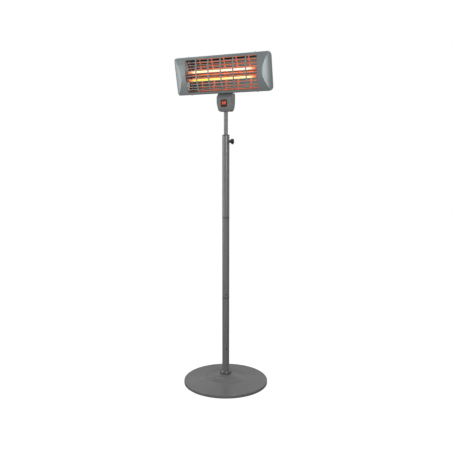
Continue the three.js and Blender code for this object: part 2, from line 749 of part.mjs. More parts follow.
function makeBoxFront() {
  const neck = roundedRectangle(BEZEL_NECK_WIDTH / 2 + SEAT_GAP, BEZEL_NECK_HEIGHT / 2 + SEAT_GAP, 1);
  const opening = throughY(neck, -BOX_WALL, 2 * BOX_WALL, 2).rotateX(faceLean);
  opening.translate(0, switchFace, SWITCH_HEIGHT);
  return cut(boxHalf(-2 * BOX_HALF_DEPTH, BOX_SPLIT), opening);
}

function rearHole(radius, x, z) {
  const hole = rod(radius, rearWallInside - CUT_OVER, BOX_HALF_DEPTH + CUT_OVER, 16);
  return layAlongY(hole).translate(x, 0, z);
}

function makeBoxRear() {
  const screwHoles = [-1, 1].map((side) =>
    rearHole(PANEL_SCREW_SHANK + SEAT_GAP, (side * BOX_SCREW_SPACING) / 2, BOX_SCREW_HEIGHT),
  );
  const glandHole = rearHole(GLAND_NECK_RADIUS + SEAT_GAP, 0, GLAND_HEIGHT);
  return cut(boxHalf(BOX_SPLIT + SEAT_GAP, 2 * BOX_HALF_DEPTH), glandHole, ...screwHoles);
}

// The socket on the floor of the box that holds the mast's upper end.
function makeSocket() {
  const bottom = BOX_WALL + SEAT_GAP;
  const hole = MAST_RADIUS + SEAT_GAP;
  return turned(
    [
      [hole, bottom],
      [SOCKET_FLANGE_RADIUS, bottom],
      [SOCKET_FLANGE_RADIUS, bottom + SOCKET_FLANGE],
      [SOCKET_RADIUS, bottom + SOCKET_FLANGE],
      [SOCKET_RADIUS, socketTop],
      [hole, socketTop],
    ],
    16,
  );
}

function panelScrew(shankLength) {
  return screw(PANEL_SCREW_HEAD, PANEL_SCREW_HEAD_HEIGHT, PANEL_SCREW_SHANK, shankLength);
}

// Turns a piece that stands on z = 0 so that it stands on the rear of a wall at y = wall.
function onRearWall(geometry, x, wall, z) {
  return layAlongY(geometry).translate(x, wall, z);
}

piece(box, "mast_socket", makeSocket(), CAST_IRON);
piece(box, "box_front_shell", makeBoxFront(), STAND_GREY);
piece(box, "box_rear_shell", makeBoxRear(), STAND_GREY);
piece(box, "mains_gland", onRearWall(gland(), 0, BOX_HALF_DEPTH, GLAND_HEIGHT), BLACK_PLASTIC);
for (const [name, side] of [["left", -1], ["right", 1]]) {
  const across = (side * BOX_SCREW_SPACING) / 2;
  const boxScrew = onRearWall(panelScrew(8), across, BOX_HALF_DEPTH, BOX_SCREW_HEIGHT);
  piece(box, `box_screw_${name}`, boxScrew, ZINC);
}
const terminalBlock = block(TERMINAL_WIDTH, TERMINAL_DEPTH, TERMINAL_HEIGHT);
terminalBlock.translate(0, rearWallInside - SEAT_GAP - TERMINAL_DEPTH / 2, TERMINAL_CENTRE);
piece(box, "terminal_block", terminalBlock, CERAMIC);

// ================================================================ double rocker switch
// Drawn with the front face of the box at y = 0 and leaning with it.
const switchUnit = new THREE.Group();
switchUnit.position.set(0, switchFace, SWITCH_HEIGHT);
switchUnit.rotation.x = faceLean;
box.add(switchUnit);

function makeBezel() {
  const flange = roundedRectangle(BEZEL_WIDTH / 2, BEZEL_HEIGHT / 2, 2.5);
  const neck = roundedRectangle(BEZEL_NECK_WIDTH / 2, BEZEL_NECK_HEIGHT / 2, 0.7);
  const window = roundedRectangle(WINDOW_WIDTH / 2, WINDOW_HEIGHT / 2, 0.3);
  return cut(
    joined(throughY(flange, -SEAT_GAP - BEZEL_PROUD, -SEAT_GAP, 4), throughY(neck, -1, BEZEL_DEPTH, 2)),
    throughY(window, -BEZEL_PROUD - CUT_OVER, BEZEL_DEPTH + CUT_OVER, 1),
  );
}

// A rocker seen from the side: a disc about its pivot with a hollow front and a flat back.
function makeRocker() {
  const lip = ROCKER_PIVOT_DEPTH + ROCKER_TIP_FORWARD;
  const tipAngle = Math.PI - Math.acos(lip / ROCKER_RADIUS);
  const backAngle = Math.acos(ROCKER_BACK / ROCKER_RADIUS);
  const upper = arcPoints([0, 0], ROCKER_RADIUS, backAngle, tipAngle, 6);
  const lower = upper.slice().reverse().map(([y, z]) => [y, -z]);
  const middle = [-ROCKER_PIVOT_DEPTH - ROCKER_MIDDLE_FORWARD, 0];
  return acrossX(outline([...upper, middle, ...lower]), ROCKER_WIDTH);
}

piece(switchUnit, "switch_bezel", makeBezel(), BLACK_PLASTIC);
const switchBody = block(BEZEL_NECK_WIDTH, SWITCH_BODY_DEPTH, BEZEL_NECK_HEIGHT);
switchBody.translate(0, BEZEL_DEPTH + SEAT_GAP + SWITCH_BODY_DEPTH / 2, 0);
piece(switchUnit, "switch_body", switchBody, BLACK_PLASTIC);
for (const [name, side] of [["left", -1], ["right", 1]]) {
  const rocker = piece(switchUnit, `rocker_${name}`, makeRocker(), LIT_RED);
  rocker.position.set((side * ROCKER_SPACING) / 2, ROCKER_PIVOT_DEPTH, 0);
  rocker.rotation.x = -ROCKER_TIP;
}

// ================================================================ tilt hinge
const pivotHeight = BOX_HEIGHT + PIVOT_ABOVE_BOX;
const pivotBore = PIVOT_RADIUS + RUN_GAP;
const earInside = LUG_HALF_WIDTH + RUN_GAP;
const earOutside = earInside + EAR_THICKNESS;
const pivotEnd = earOutside + SEAT_GAP + PIVOT_HEAD_THICKNESS;

function alongPivot(geometry) {
  return layAlongX(geometry).translate(0, PIVOT_BACK, pivotHeight);
}

// A folded plate on the roof of the box with an ear on either side of the lug.
function makeFork() {
  const bottom = BOX_HEIGHT + SEAT_GAP;
  const front = PIVOT_BACK - EAR_RADIUS / 2;
  const plate = block(2 * FORK_HALF_WIDTH, FORK_LENGTH, FORK_PLATE);
  plate.translate(0, front + FORK_LENGTH / 2, bottom + FORK_PLATE / 2);
  const earOutline = outline([
    [front, bottom],
    [PIVOT_BACK + EAR_RADIUS * 1.5, bottom],
    ...arcPoints([PIVOT_BACK, pivotHeight], EAR_RADIUS, 0, Math.PI, 12),
  ]);
  const ears = [-1, 1].map((side) =>
    acrossX(earOutline, EAR_THICKNESS).translate((side * (earInside + earOutside)) / 2, 0, 0),
  );
  return cut(joined(plate, ...ears), alongPivot(rod(pivotBore, -pivotEnd, pivotEnd, 20)));
}

piece(box, "tilt_fork", makeFork(), STAND_GREY);
const boltHead = hexagon(PIVOT_HEAD_RADIUS, -pivotEnd, -earOutside - SEAT_GAP);
const boltShank = rod(PIVOT_RADIUS, -pivotEnd + 1, pivotEnd + 1, 20);
piece(box, "pivot_bolt", alongPivot(joined(boltHead, boltShank)), ZINC);
const nutBody = hexagon(PIVOT_HEAD_RADIUS, earOutside + SEAT_GAP, pivotEnd);
const nutBore = rod(pivotBore, earInside, pivotEnd + CUT_OVER, 20);
piece(box, "pivot_nut", alongPivot(cut(nutBody, nutBore)), ZINC);

// ================================================================ heater head
// Drawn upright with the middle of its face at the origin; the group tilts and lifts it.
const head = new THREE.Group();
head.position.set(0, HEAD_FACE_BACK, boxBottom + pivotHeight + HEAD_FACE_ABOVE_PIVOT);
head.rotation.x = HEAD_TILT;
heater.add(head);

const capStart = TUBE_HALF_LENGTH - CAP_GRIP;
const housingHalfHeight = HEAD_HALF_HEIGHT - FRAME_WALL - SEAT_GAP;
const housingHalfWidth = HEAD_HALF_WIDTH - FRAME_WALL - SEAT_GAP;
const slopeRun = HOUSING_SLOPE_END - HOUSING_SLOPE_START;
const slopeAngle = Math.atan((housingHalfHeight - HOUSING_SLOPE_HALF_HEIGHT) / slopeRun);

// The front part of the head out to a back edge, its walls moved inwards by a distance.
function frameBody(back, inset) {
  const reach = Math.asin(FACE_HALF_HEIGHT / FACE_RADIUS);
  const face = arcPoints([FACE_RADIUS, 0], FACE_RADIUS, Math.PI - reach, Math.PI + reach, 14);
  const shoulder = [SHOULDER_DEPTH, HEAD_HALF_HEIGHT];
  const bendDepth = face[0][0] + (SHOULDER_DEPTH - face[0][0]) / 3;
  const upper = curvePoints(shoulder, [bendDepth, HEAD_HALF_HEIGHT], face[0], 3).slice(0, -1);
  const lower = upper.slice().reverse().map(([y, z]) => [y, -z]);
  const side = [[back, -HEAD_HALF_HEIGHT], [back, HEAD_HALF_HEIGHT], ...upper, ...face, ...lower];
  const start = [HEAD_HALF_WIDTH - CRESCENT_WIDTH, 0];
  const bend = [HEAD_HALF_WIDTH - CRESCENT_BEND_INSET, CRESCENT_BEND_DEPTH];
  const leadAcross = (CRESCENT_LEAD * (bend[0] - start[0])) / bend[1];
  const plan = [
    [start[0] - leadAcross, -CRESCENT_LEAD],
    ...curvePoints(start, bend, [HEAD_HALF_WIDTH, CRESCENT_DEPTH], 7),
    [HEAD_HALF_WIDTH, back],
  ];
  return headSolid(side, plan, HEAD_CORNER, [HEAD_HALF_WIDTH, HEAD_HALF_HEIGHT], inset);
}

// The rear part of the head from a front edge, its walls moved inwards by a distance.
function housingBody(front, inset) {
  const side = [
    [front, -housingHalfHeight],
    [HOUSING_SLOPE_START, -housingHalfHeight],
    [HOUSING_SLOPE_END, -HOUSING_SLOPE_HALF_HEIGHT],
    [HOUSING_BACK, -HOUSING_BACK_HALF_HEIGHT],
    [HOUSING_BACK, HOUSING_BACK_HALF_HEIGHT],
    [HOUSING_SLOPE_END, HOUSING_SLOPE_HALF_HEIGHT],
    [HOUSING_SLOPE_START, housingHalfHeight],
    [front, housingHalfHeight],
  ];
  const plan = [
    [housingHalfWidth, front],
    [housingHalfWidth, HOUSING_SLOPE_START],
    [HOUSING_SLOPE_HALF_WIDTH, HOUSING_SLOPE_END],
    [HOUSING_BACK_HALF_WIDTH, HOUSING_BACK],
  ];
  return headSolid(side, plan, HEAD_CORNER - FRAME_WALL, [housingHalfWidth, housingHalfHeight], inset);
}

// What an outline from the side, one from above and a rounded one from the front have in common.
function headSolid(side, rightPlan, corner, [halfWidth, halfHeight], inset) {
  const plan = extruded(outline(drawnIn(mirrored(rightPlan), inset)), 2 * HEAD_HALF_HEIGHT + 2);
  const front = roundedRectangle(halfWidth - inset, halfHeight - inset, corner - inset);
  return common(
    acrossX(outline(drawnIn(side, inset)), 2 * HEAD_HALF_WIDTH + 2),
    plan.translate(0, 0, -HEAD_HALF_HEIGHT - 1),
    throughY(front, -FRAME_DEPTH, 2 * HOUSING_BACK, 5),
  );
}

// The four screws that hold the frame on the housing, drawn or cut from above and below.
function atFrameScrews(make) {
  const across = HEAD_HALF_WIDTH - FRAME_SCREW_INSET;
  return [-across, across].flatMap((x) =>
    [0, Math.PI].map((turn) => make().rotateX(turn).translate(x, FRAME_SCREW_BACK, 0)),
  );
}

function makeFrontFrame() {
  const hollow = frameBody(FRAME_DEPTH + 2 * FRAME_WALL, FRAME_WALL);
  const opening = roundedRectangle(OPENING_HALF_WIDTH, OPENING_HALF_HEIGHT, OPENING_CORNER);
  const holeRadius = PANEL_SCREW_SHANK + SEAT_GAP;
  const screwHoles = atFrameScrews(() =>
    rod(holeRadius, housingHalfHeight, HEAD_HALF_HEIGHT + CUT_OVER, 12),
  );
  const window = throughY(opening, -CUT_OVER, FRAME_DEPTH, 4);
  return cut(frameBody(FRAME_DEPTH, 0), hollow, window, ...screwHoles);
}

// A strip that follows the inside of the face, from one depth behind it to another.
function curvedBar(width, reach, front, back) {
  const angle = Math.asin(reach / FACE_RADIUS);
  const centre = [FACE_RADIUS, 0];
  const outer = arcPoints(centre, FACE_RADIUS - front, Math.PI - angle, Math.PI + angle, 8);
  const inner = arcPoints(centre, FACE_RADIUS - back, Math.PI + angle, Math.PI - angle, 8);
  return acrossX(outline([...outer, ...inner]), width);
}

// Curved flat bars behind the opening with level rods welded across their backs.
function makeGuard() {
  const front = FRAME_WALL + SEAT_GAP;
  const back = front + BAR_THICKNESS;
  const reach = OPENING_HALF_HEIGHT + GUARD_OVERLAP;
  const endBar = OPENING_HALF_WIDTH + BAR_WIDTH / 2 + 0.5;
  const middleBar = (BAR_COUNT - 1) / 2;
  const across = Array.from({ length: BAR_COUNT }, (_, i) => (i - middleBar) * BAR_PITCH);
  const bars = [-endBar, ...across, endBar].map((x) =>
    curvedBar(BAR_WIDTH, reach, front, back).translate(x, 0, 0),
  );
  const slot = (2 * OPENING_HALF_HEIGHT) / SLOT_COUNT;
  const edge = OPENING_HALF_HEIGHT + EDGE_ROD_OVERLAP;
  const levels = Array.from(
    { length: SLOT_COUNT - 1 },
    (_, i) => (i + 1) * slot - OPENING_HALF_HEIGHT,
  );
  const radius = FACE_RADIUS - back - ROD_RADIUS + ROD_WELD;
  const rodEnd = endBar + 2;
  const rods = [-edge, ...levels, edge].map((z) => {
    const rodBack = FACE_RADIUS - Math.sqrt(radius ** 2 - z ** 2);
    return layAlongX(rod(ROD_RADIUS, -rodEnd, rodEnd, 6)).translate(0, rodBack, z);
  });
  return joined(...bars, ...rods);
}

// How far back the reflector stands at a height: a fold between the tubes and edges that rise.
function reflectorBack(z) {
  const fold = REFLECTOR_RIDGE * Math.exp(-((z / REFLECTOR_RIDGE_WIDTH) ** 2));
  return REFLECTOR_DEPTH - fold - REFLECTOR_RISE * (z / REFLECTOR_EDGE) ** 4;
}

// The reflector's section up to a half height, moved forwards or backwards by an offset.
function reflectorLine(reach, offset) {
  const steps = 9;
  const half = Array.from({ length: steps + 1 }, (_, i) => REFLECTOR_EDGE * (i / steps) ** 1.3);
  const heights = [...half.slice(1).reverse().map((z) => -z), ...half];
  return heights.filter((z) => Math.abs(z) <= reach).map((z) => [reflectorBack(z) + offset, z]);
}

function makeReflector() {
  const lip = housingHalfHeight - HOUSING_SHEET - SEAT_GAP;
  const line = reflectorLine(REFLECTOR_EDGE, 0);
  const front = [[line[0][0], -lip], ...line, [line[0][0], lip]];
  const back = front.slice().reverse().map(([y, z]) => [y + REFLECTOR_SHEET, z]);
  return acrossX(outline([...front, ...back]), 2 * REFLECTOR_HALF_LENGTH);
}

// An upright plate at each end of the reflector, with a hole for each tube's cap.
function makeTubeBracket() {
  const reach = Math.asin(END_PLATE_HALF_HEIGHT / FACE_RADIUS);
  const radius = FACE_RADIUS - END_PLATE_FRONT;
  const front = arcPoints([FACE_RADIUS, 0], radius, Math.PI - reach, Math.PI + reach, 10);
  const back = reflectorLine(END_PLATE_HALF_HEIGHT, -SEAT_GAP);
  const plate = acrossX(outline([...front, ...back]), END_PLATE_THICKNESS);
  const holes = [-TUBE_HEIGHT, TUBE_HEIGHT].map((z) =>
    layAlongX(rod(CAP_RADIUS + SEAT_GAP, -CUT_OVER, CUT_OVER, 16)).translate(0, TUBE_DEPTH, z),
  );
  return cut(plate, ...holes);
}

// A ceramic cap that takes the end of a tube and, deeper in, the end of its coil.
function makeCap() {
  const tubeSocket = CAP_GRIP + SEAT_GAP;
  const coilSocket = COIL_HALF_LENGTH - capStart + SEAT_GAP;
  const bore = COIL_RADIUS + SEAT_GAP;
  return turned(
    [
      [0, coilSocket],
      [bore, coilSocket],
      [bore, tubeSocket],
      [TUBE_RADIUS + SEAT_GAP, tubeSocket],
      [TUBE_RADIUS + SEAT_GAP, 0],
      [CAP_RADIUS, 0],
      [CAP_RADIUS, CAP_LENGTH],
      [0, CAP_LENGTH],
    ],
    12,
  );
}

function makeHousing() {
  const hollow = housingBody(HOUSING_START - 2 * HOUSING_SHEET, HOUSING_SHEET);
  const wall = [HOUSING_BACK - HOUSING_SHEET - CUT_OVER, HOUSING_BACK + CUT_OVER];
  const vent = roundedRectangle(VENT_LENGTH / 2, VENT_HEIGHT / 2, VENT_HEIGHT / 2 - 0.1);
  const middleVent = (VENT_COUNT - 1) / 2;
  const across = Array.from({ length: VENT_COUNT }, (_, i) => (i - middleVent) * VENT_PITCH);
  const vents = across.flatMap((x) =>
    [-VENT_OFFSET, VENT_OFFSET].map((z) => throughY(vent, ...wall, 1).translate(x, 0, z)),
  );
  const glandHole = layAlongY(rod(GLAND_NECK_RADIUS + SEAT_GAP, ...wall, 16));
  glandHole.translate(HEAD_GLAND_ACROSS, 0, 0);
  const lugScrewHoles = [-1, 1].map((side) => {
    const hole = rod(PANEL_SCREW_SHANK + SEAT_GAP, -CUT_OVER, 2 * CUT_OVER, 12);
    return ontoSlope(hole.translate((side * LUG_SCREW_SPACING) / 2, LUG_SCREW_ALONG, 0));
  });
  const rim = [HEAD_HALF_HEIGHT - FRAME_DEPTH, HEAD_HALF_HEIGHT];
  const rimHoles = atFrameScrews(() => rod(PANEL_SCREW_SHANK + SEAT_GAP, ...rim, 12));
  return cut(housingBody(HOUSING_START, 0), hollow, ...vents, glandHole, ...lugScrewHoles, ...rimHoles);
}

piece(head, "front_frame", makeFrontFrame(), FRAME_GREY);
piece(head, "guard_grille", makeGuard(), FRAME_GREY);
piece(head, "reflector", makeReflector(), POLISHED);
piece(head, "rear_housing", makeHousing(), STAND_GREY);
piece(head, "head_gland", onRearWall(gland(), HEAD_GLAND_ACROSS, HOUSING_BACK, 0), BLACK_PLASTIC);
for (const [name, side] of [["left", -1], ["right", 1]]) {
  const bracket = piece(head, `tube_bracket_${name}`, makeTubeBracket(), ZINC);
  bracket.position.x = side * END_PLATE_AT;
}
for (const [level, z] of [["upper", TUBE_HEIGHT], ["lower", -TUBE_HEIGHT]]) {
  const quartz = tube(TUBE_RADIUS, TUBE_RADIUS - TUBE_WALL, -TUBE_HALF_LENGTH, TUBE_HALF_LENGTH, 16);
  const coil = rod(COIL_RADIUS, -COIL_HALF_LENGTH, COIL_HALF_LENGTH, 8);
  piece(head, `quartz_tube_${level}`, layAlongX(quartz).translate(0, TUBE_DEPTH, z), QUARTZ);
  piece(head, `heating_coil_${level}`, layAlongX(coil).translate(0, TUBE_DEPTH, z), COIL);
  for (const [name, side] of [["left", -1], ["right", 1]]) {
    const cap = layAlongX(makeCap().translate(0, 0, capStart));
    if (side < 0) cap.rotateZ(Math.PI);
    piece(head, `${level}_cap_${name}`, cap.translate(0, TUBE_DEPTH, z), CERAMIC);
  }
}
const frameScrewNames = ["upper_left", "lower_left", "upper_right", "lower_right"];
const frameScrews = atFrameScrews(() =>
  panelScrew(FRAME_WALL + HOUSING_SHEET).translate(0, 0, HEAD_HALF_HEIGHT),
);
frameScrews.forEach((geometry, i) => {
  piece(head, `frame_screw_${frameScrewNames[i]}`, geometry, ZINC);
});

// ================================================================ tilt lug
// Moves what is drawn on z = 0, with y along the slope, onto the housing's lower sloping wall.
function ontoSlope(geometry) {
  return geometry.rotateX(slopeAngle).translate(0, HOUSING_SLOPE_START, -housingHalfHeight);
}

// Where the hinge axis lies, seen from the lower edge of that wall: along it and away from it.
function pivotFromSlope() {
  const pivot = new THREE.Vector3(0, PIVOT_BACK - HEAD_FACE_BACK, -HEAD_FACE_ABOVE_PIVOT);
  pivot.applyAxisAngle(new THREE.Vector3(1, 0, 0), -HEAD_TILT);
  pivot.sub(new THREE.Vector3(0, HOUSING_SLOPE_START, -housingHalfHeight));
  pivot.applyAxisAngle(new THREE.Vector3(1, 0, 0), -slopeAngle);
  return [pivot.y, pivot.z];
}

// A flange on the sloping wall with a tongue that hangs between the ears of the fork.
function makeLug() {
  const [along, away] = pivotFromSlope();
  const flangeEnd = LUG_SCREW_ALONG + LUG_FLANGE_LENGTH / 2;
  const flange = block(2 * LUG_FLANGE_HALF_WIDTH, LUG_FLANGE_LENGTH, LUG_FLANGE);
  flange.translate(0, LUG_SCREW_ALONG, -SEAT_GAP - LUG_FLANGE / 2);
  const tongue = outline([
    ...arcPoints([along, away], LUG_RADIUS, -Math.PI, 0, 12),
    [flangeEnd - 8, -SEAT_GAP - LUG_FLANGE],
    [flangeEnd - 8, -SEAT_GAP],
    [along - LUG_RADIUS, -SEAT_GAP],
  ]);
  const screwHoles = [-1, 1].map((side) => {
    const hole = rod(PANEL_SCREW_SHANK + SEAT_GAP, -2 * LUG_FLANGE, CUT_OVER, 12);
    return hole.translate((side * LUG_SCREW_SPACING) / 2, LUG_SCREW_ALONG, 0);
  });
  const pivotHole = layAlongX(rod(pivotBore, -2 * LUG_HALF_WIDTH, 2 * LUG_HALF_WIDTH, 20));
  pivotHole.translate(0, along, away);
  return ontoSlope(cut(joined(flange, acrossX(tongue, 2 * LUG_HALF_WIDTH)), ...screwHoles, pivotHole));
}

piece(head, "head_lug", makeLug(), STAND_GREY);
for (const [name, side] of [["left", -1], ["right", 1]]) {
  const lugScrew = panelScrew(LUG_FLANGE + HOUSING_SHEET + 2).rotateX(Math.PI);
  lugScrew.translate((side * LUG_SCREW_SPACING) / 2, LUG_SCREW_ALONG, -SEAT_GAP - LUG_FLANGE);
  piece(head, `lug_screw_${name}`, ontoSlope(lugScrew), ZINC);
}

export default heater;
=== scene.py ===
"""Looks for the infrared patio heater tower: materials, smooth forms, light and camera."""

import json
import math

import bmesh
import bpy
from mathutils import Matrix, Vector


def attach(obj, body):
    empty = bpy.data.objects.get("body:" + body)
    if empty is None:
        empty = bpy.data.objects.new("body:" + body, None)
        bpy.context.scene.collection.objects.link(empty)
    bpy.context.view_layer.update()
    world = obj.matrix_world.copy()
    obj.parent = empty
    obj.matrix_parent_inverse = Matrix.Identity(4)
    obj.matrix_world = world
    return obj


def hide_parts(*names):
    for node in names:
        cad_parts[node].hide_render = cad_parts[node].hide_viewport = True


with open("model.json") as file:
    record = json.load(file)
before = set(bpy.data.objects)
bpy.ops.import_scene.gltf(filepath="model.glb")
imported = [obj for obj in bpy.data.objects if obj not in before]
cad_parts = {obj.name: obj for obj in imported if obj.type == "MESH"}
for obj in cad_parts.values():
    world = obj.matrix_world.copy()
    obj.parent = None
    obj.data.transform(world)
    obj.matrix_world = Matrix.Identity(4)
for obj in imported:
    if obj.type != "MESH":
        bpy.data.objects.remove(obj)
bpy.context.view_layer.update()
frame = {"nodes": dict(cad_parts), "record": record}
MM = 0.001

# Sizes that several pieces share, in millimetres.
POLE_BOTTOM, POLE_SECTION, POLE_PITCH = 40.3, 428, 431.6
POLE_TOP = POLE_BOTTOM + 2 * POLE_PITCH + POLE_SECTION
POLE_RADIUS, POLE_BORE = 19, 17.5
MAST_RADIUS, MAST_BORE, MAST_SHOWN = 10.5, 9, 119.5
CLEARANCE = 0.3
BUSH_LIP, BUSH_DOME = 0.3, 3.6
BOX_BOTTOM = POLE_TOP + (BUSH_LIP + BUSH_DOME) + MAST_SHOWN
SWITCH_HEIGHT = 39.5
ROCKER_OFFSET, ROCKER_HALF_WIDTH = 5.6, 5.3


# ---------------------------------------------------------------- camera
def add_camera():
    """The photograph's view, from the right and slightly above the middle, looking down a little."""
    azimuth, pitch, roll, yaw = (math.radians(a) for a in (21.4, 6.1, 0.03, -0.02))
    distance, height = 2.8219, 1.1587
    data = bpy.data.cameras.new("camera")
    data.sensor_width = 36
    data.lens = 42.56
    camera = bpy.data.objects.new("camera", data)
    turn = Matrix.Rotation(azimuth + yaw, 4, "Z")
    turn = turn @ Matrix.Rotation(math.pi / 2 - pitch, 4, "X") @ Matrix.Rotation(roll, 4, "Z")
    where = Vector((distance * math.sin(azimuth), -distance * math.cos(azimuth), height))
    camera.matrix_world = Matrix.Translation(where) @ turn
    bpy.context.scene.collection.objects.link(camera)
    bpy.context.scene.camera = camera


# ---------------------------------------------------------------- mesh helpers, in millimetres
def mesh_object(name, points, faces):
    """An object from points in millimetres and faces that name them by number."""
    mesh = bpy.data.meshes.new(name)
    mesh.from_pydata([Vector(p) * MM for p in points], [], faces)
    mesh.validate()
    piece = bpy.data.objects.new(name, mesh)
    bpy.context.scene.collection.objects.link(piece)
    return piece


def lathe(name, profile, sides):
    """A body turned about Z from (radius, height) points that run counter-clockwise."""
    points, faces = [], []
    count = len(profile)
    for i in range(sides):
        angle = 2 * math.pi * i / sides
        points += [(r * math.cos(angle), r * math.sin(angle), z) for r, z in profile]
    for i in range(sides):
        here, there = i * count, ((i + 1) % sides) * count
        for j in range(count):
            k = (j + 1) % count
            faces.append((here + j, there + j, there + k, here + k))
    piece = mesh_object(name, points, faces)
    tidy(piece)
    return piece


def prism(name, outline, axis, low, high):
    """An outline drawn along an axis: (y, z) along X, (x, z) along Y or (x, y) along Z."""
    to_point = {
        "X": lambda a, b, c: (c, a, b),
        "Y": lambda a, b, c: (a, c, b),
        "Z": lambda a, b, c: (a, b, c),
    }[axis]
    count = len(outline)
    points = [to_point(a, b, c) for c in (low, high) for a, b in outline]
    sides = [(i, (i + 1) % count, count + (i + 1) % count, count + i) for i in range(count)]
    near, far = tuple(range(count))[::-1], tuple(range(count, 2 * count))
    piece = mesh_object(name, points, [near, far, *sides])
    tidy(piece)
    return piece


def tidy(piece):
    """Merges double points and turns all faces outwards."""
    work = bmesh.new()
    work.from_mesh(piece.data)
    bmesh.ops.remove_doubles(work, verts=work.verts, dist=1e-6)
    bmesh.ops.recalc_face_normals(work, faces=work.faces)
    work.to_mesh(piece.data)
    work.free()


def combine(piece, others, operation):
    """Cuts, joins or intersects a piece with others, which are used up."""
    for other in others:
        modifier = piece.modifiers.new("combine", "BOOLEAN")
        modifier.operation = operation
        modifier.solver = "EXACT"
        modifier.object = other
        bake(piece)
        bpy.data.objects.remove(other)
    return piece


def bake(piece):
    """Applies all modifiers."""
    graph = bpy.context.evaluated_depsgraph_get()
    mesh = bpy.data.meshes.new_from_object(piece.evaluated_get(graph))
    piece.modifiers.clear()
    piece.data = mesh


def merge(name, pieces):
    """One object from several, with the meshes side by side."""
    work = bmesh.new()
    for piece in pieces:
        work.from_mesh(piece.data)
        bpy.data.objects.remove(piece)
    mesh = bpy.data.meshes.new(name)
    work.to_mesh(mesh)
    work.free()
    merged = bpy.data.objects.new(name, mesh)
    bpy.context.scene.collection.objects.link(merged)
    return merged


def soften(piece, radius=0.0, angle=28, segments=3):
    """Rounds the edges over an angle, if there is a radius, and shades the rest smooth."""
    if radius:
        bevel = piece.modifiers.new("bevel", "BEVEL")
        bevel.width = radius * MM
        bevel.segments = segments
        bevel.limit_method = "ANGLE"
        bevel.angle_limit = math.radians(angle)
        bevel.use_clamp_overlap = True
        bevel.harden_normals = False
        bake(piece)
    piece.data.shade_smooth()
    piece.data.set_sharp_from_angle(angle=math.radians(angle))
    if radius:
        # Flat faces look flat beside the rounded edges.
        weighted = piece.modifiers.new("weighted", "WEIGHTED_NORMAL")
        weighted.keep_sharp = True
        bake(piece)
    return piece


def place(piece, matrix):
    """Moves the mesh itself, so that the object's origin stays at the frame's."""
    piece.data.transform(matrix)
    return piece


def arc(centre, radius, start, end, steps):
    """Points on an arc between two angles in radians."""
    angles = [start + (end - start) * i / steps for i in range(steps + 1)]
    return [(centre[0] + radius * math.cos(a), centre[1] + radius * math.sin(a)) for a in angles]


def curve(start, control, end, steps):
    """Points on a curve that leaves and reaches its ends in line with the control point."""
    points = []
    for i in range(steps + 1):
        t = i / steps
        pulls = (((1 - t) ** 2, start), (2 * t * (1 - t), control), (t**2, end))
        points.append(tuple(sum(pull * point[k] for pull, point in pulls) for k in (0, 1)))
    return points


def mirrored(right_half):
    """A whole outline from its right half."""
    return [*right_half, *[(-a, b) for a, b in reversed(right_half)]]


def rounded(half_width, half_height, radius, steps):
    """A rectangle with round corners."""
    w, h = half_width - radius, half_height - radius
    quarter, points = math.pi / 2, []
    for turns, corner in enumerate([(w, h), (-w, h), (-w, -h), (w, -h)]):
        points += arc(corner, radius, turns * quarter, (turns + 1) * quarter, steps)
    return points


def drawn_in(points, distance):
    """A convex counter-clockwise outline moved inwards all round."""
    if not distance:
        return points
    edges = []
    for (a, b), (c, d) in zip(points, [*points[1:], points[0]]):
        length = math.hypot(c - a, d - b)
        normal = ((b - d) / length, (c - a) / length)
        edges.append((*normal, normal[0] * a + normal[1] * b + distance))
    moved = []
    for (p, q, r), (s, t, u) in zip([edges[-1], *edges[:-1]], edges):
        turn = p * t - q * s
        moved.append(((r * t - u * q) / turn, (p * u - s * r) / turn))
    return moved


def dress(piece, body, material, node):
    """Puts a finished piece on its body in place of a CAD node."""
    piece.data.materials.clear()
    piece.data.materials.append(material)
    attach(piece, body)
    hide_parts(node)


# ---------------------------------------------------------------- material helpers
class Graph:
    """Adds nodes to a tree with their settings and inputs in one call."""

    def __init__(self, tree):
        self.tree = tree

    def add(self, kind, inputs=None, **settings):
        node = self.tree.nodes.new(kind)
        for key, value in settings.items():
            setattr(node, key, value)
        for key, value in (inputs or {}).items():
            if isinstance(value, bpy.types.NodeSocket):
                self.tree.links.new(value, node.inputs[key])
            else:
                node.inputs[key].default_value = value
        return node

    def math(self, operation, *values, clamp=False):
        inputs = dict(enumerate(values))
        return self.add("ShaderNodeMath", inputs, operation=operation, use_clamp=clamp).outputs[0]

    def mix(self, factor, first, second):
        """A mix of two colours; 0, 6 and 7 are the node's inputs for that."""
        inputs = {0: factor, 6: first, 7: second}
        return self.add("ShaderNodeMix", inputs, data_type="RGBA").outputs[2]

    def position(self):
        return self.add("ShaderNodeTexCoord").outputs["Object"]

    def noise(self, position, scale, detail):
        inputs = {"Vector": position, "Scale": scale, "Detail": detail}
        return self.add("ShaderNodeTexNoise", inputs).outputs[0]

    def bump(self, height, strength, distance):
        inputs = {"Strength": strength, "Height": height, "Distance": distance}
        return self.add("ShaderNodeBump", inputs).outputs[0]

    def split(self, vector):
        return self.add("ShaderNodeSeparateXYZ", {"Vector": vector}).outputs

    def ramp(self, value, low, high, to_low=0.0, to_high=1.0):
        inputs = {"Value": value, "From Min": low, "From Max": high}
        inputs.update({"To Min": to_low, "To Max": to_high})
        return self.add("ShaderNodeMapRange", inputs).outputs[0]


def effect(name, inputs, outputs):
    """A node group with named sockets, its inner graph and the two ends."""
    tree = bpy.data.node_groups.new(name, "ShaderNodeTree")
    for label, kind, default in inputs:
        socket = tree.interface.new_socket(label, in_out="INPUT", socket_type=kind)
        socket.default_value = default
    for label, kind in outputs:
        tree.interface.new_socket(label, in_out="OUTPUT", socket_type=kind)
    graph = Graph(tree)
    return tree, graph, graph.add("NodeGroupInput").outputs, graph.add("NodeGroupOutput").inputs


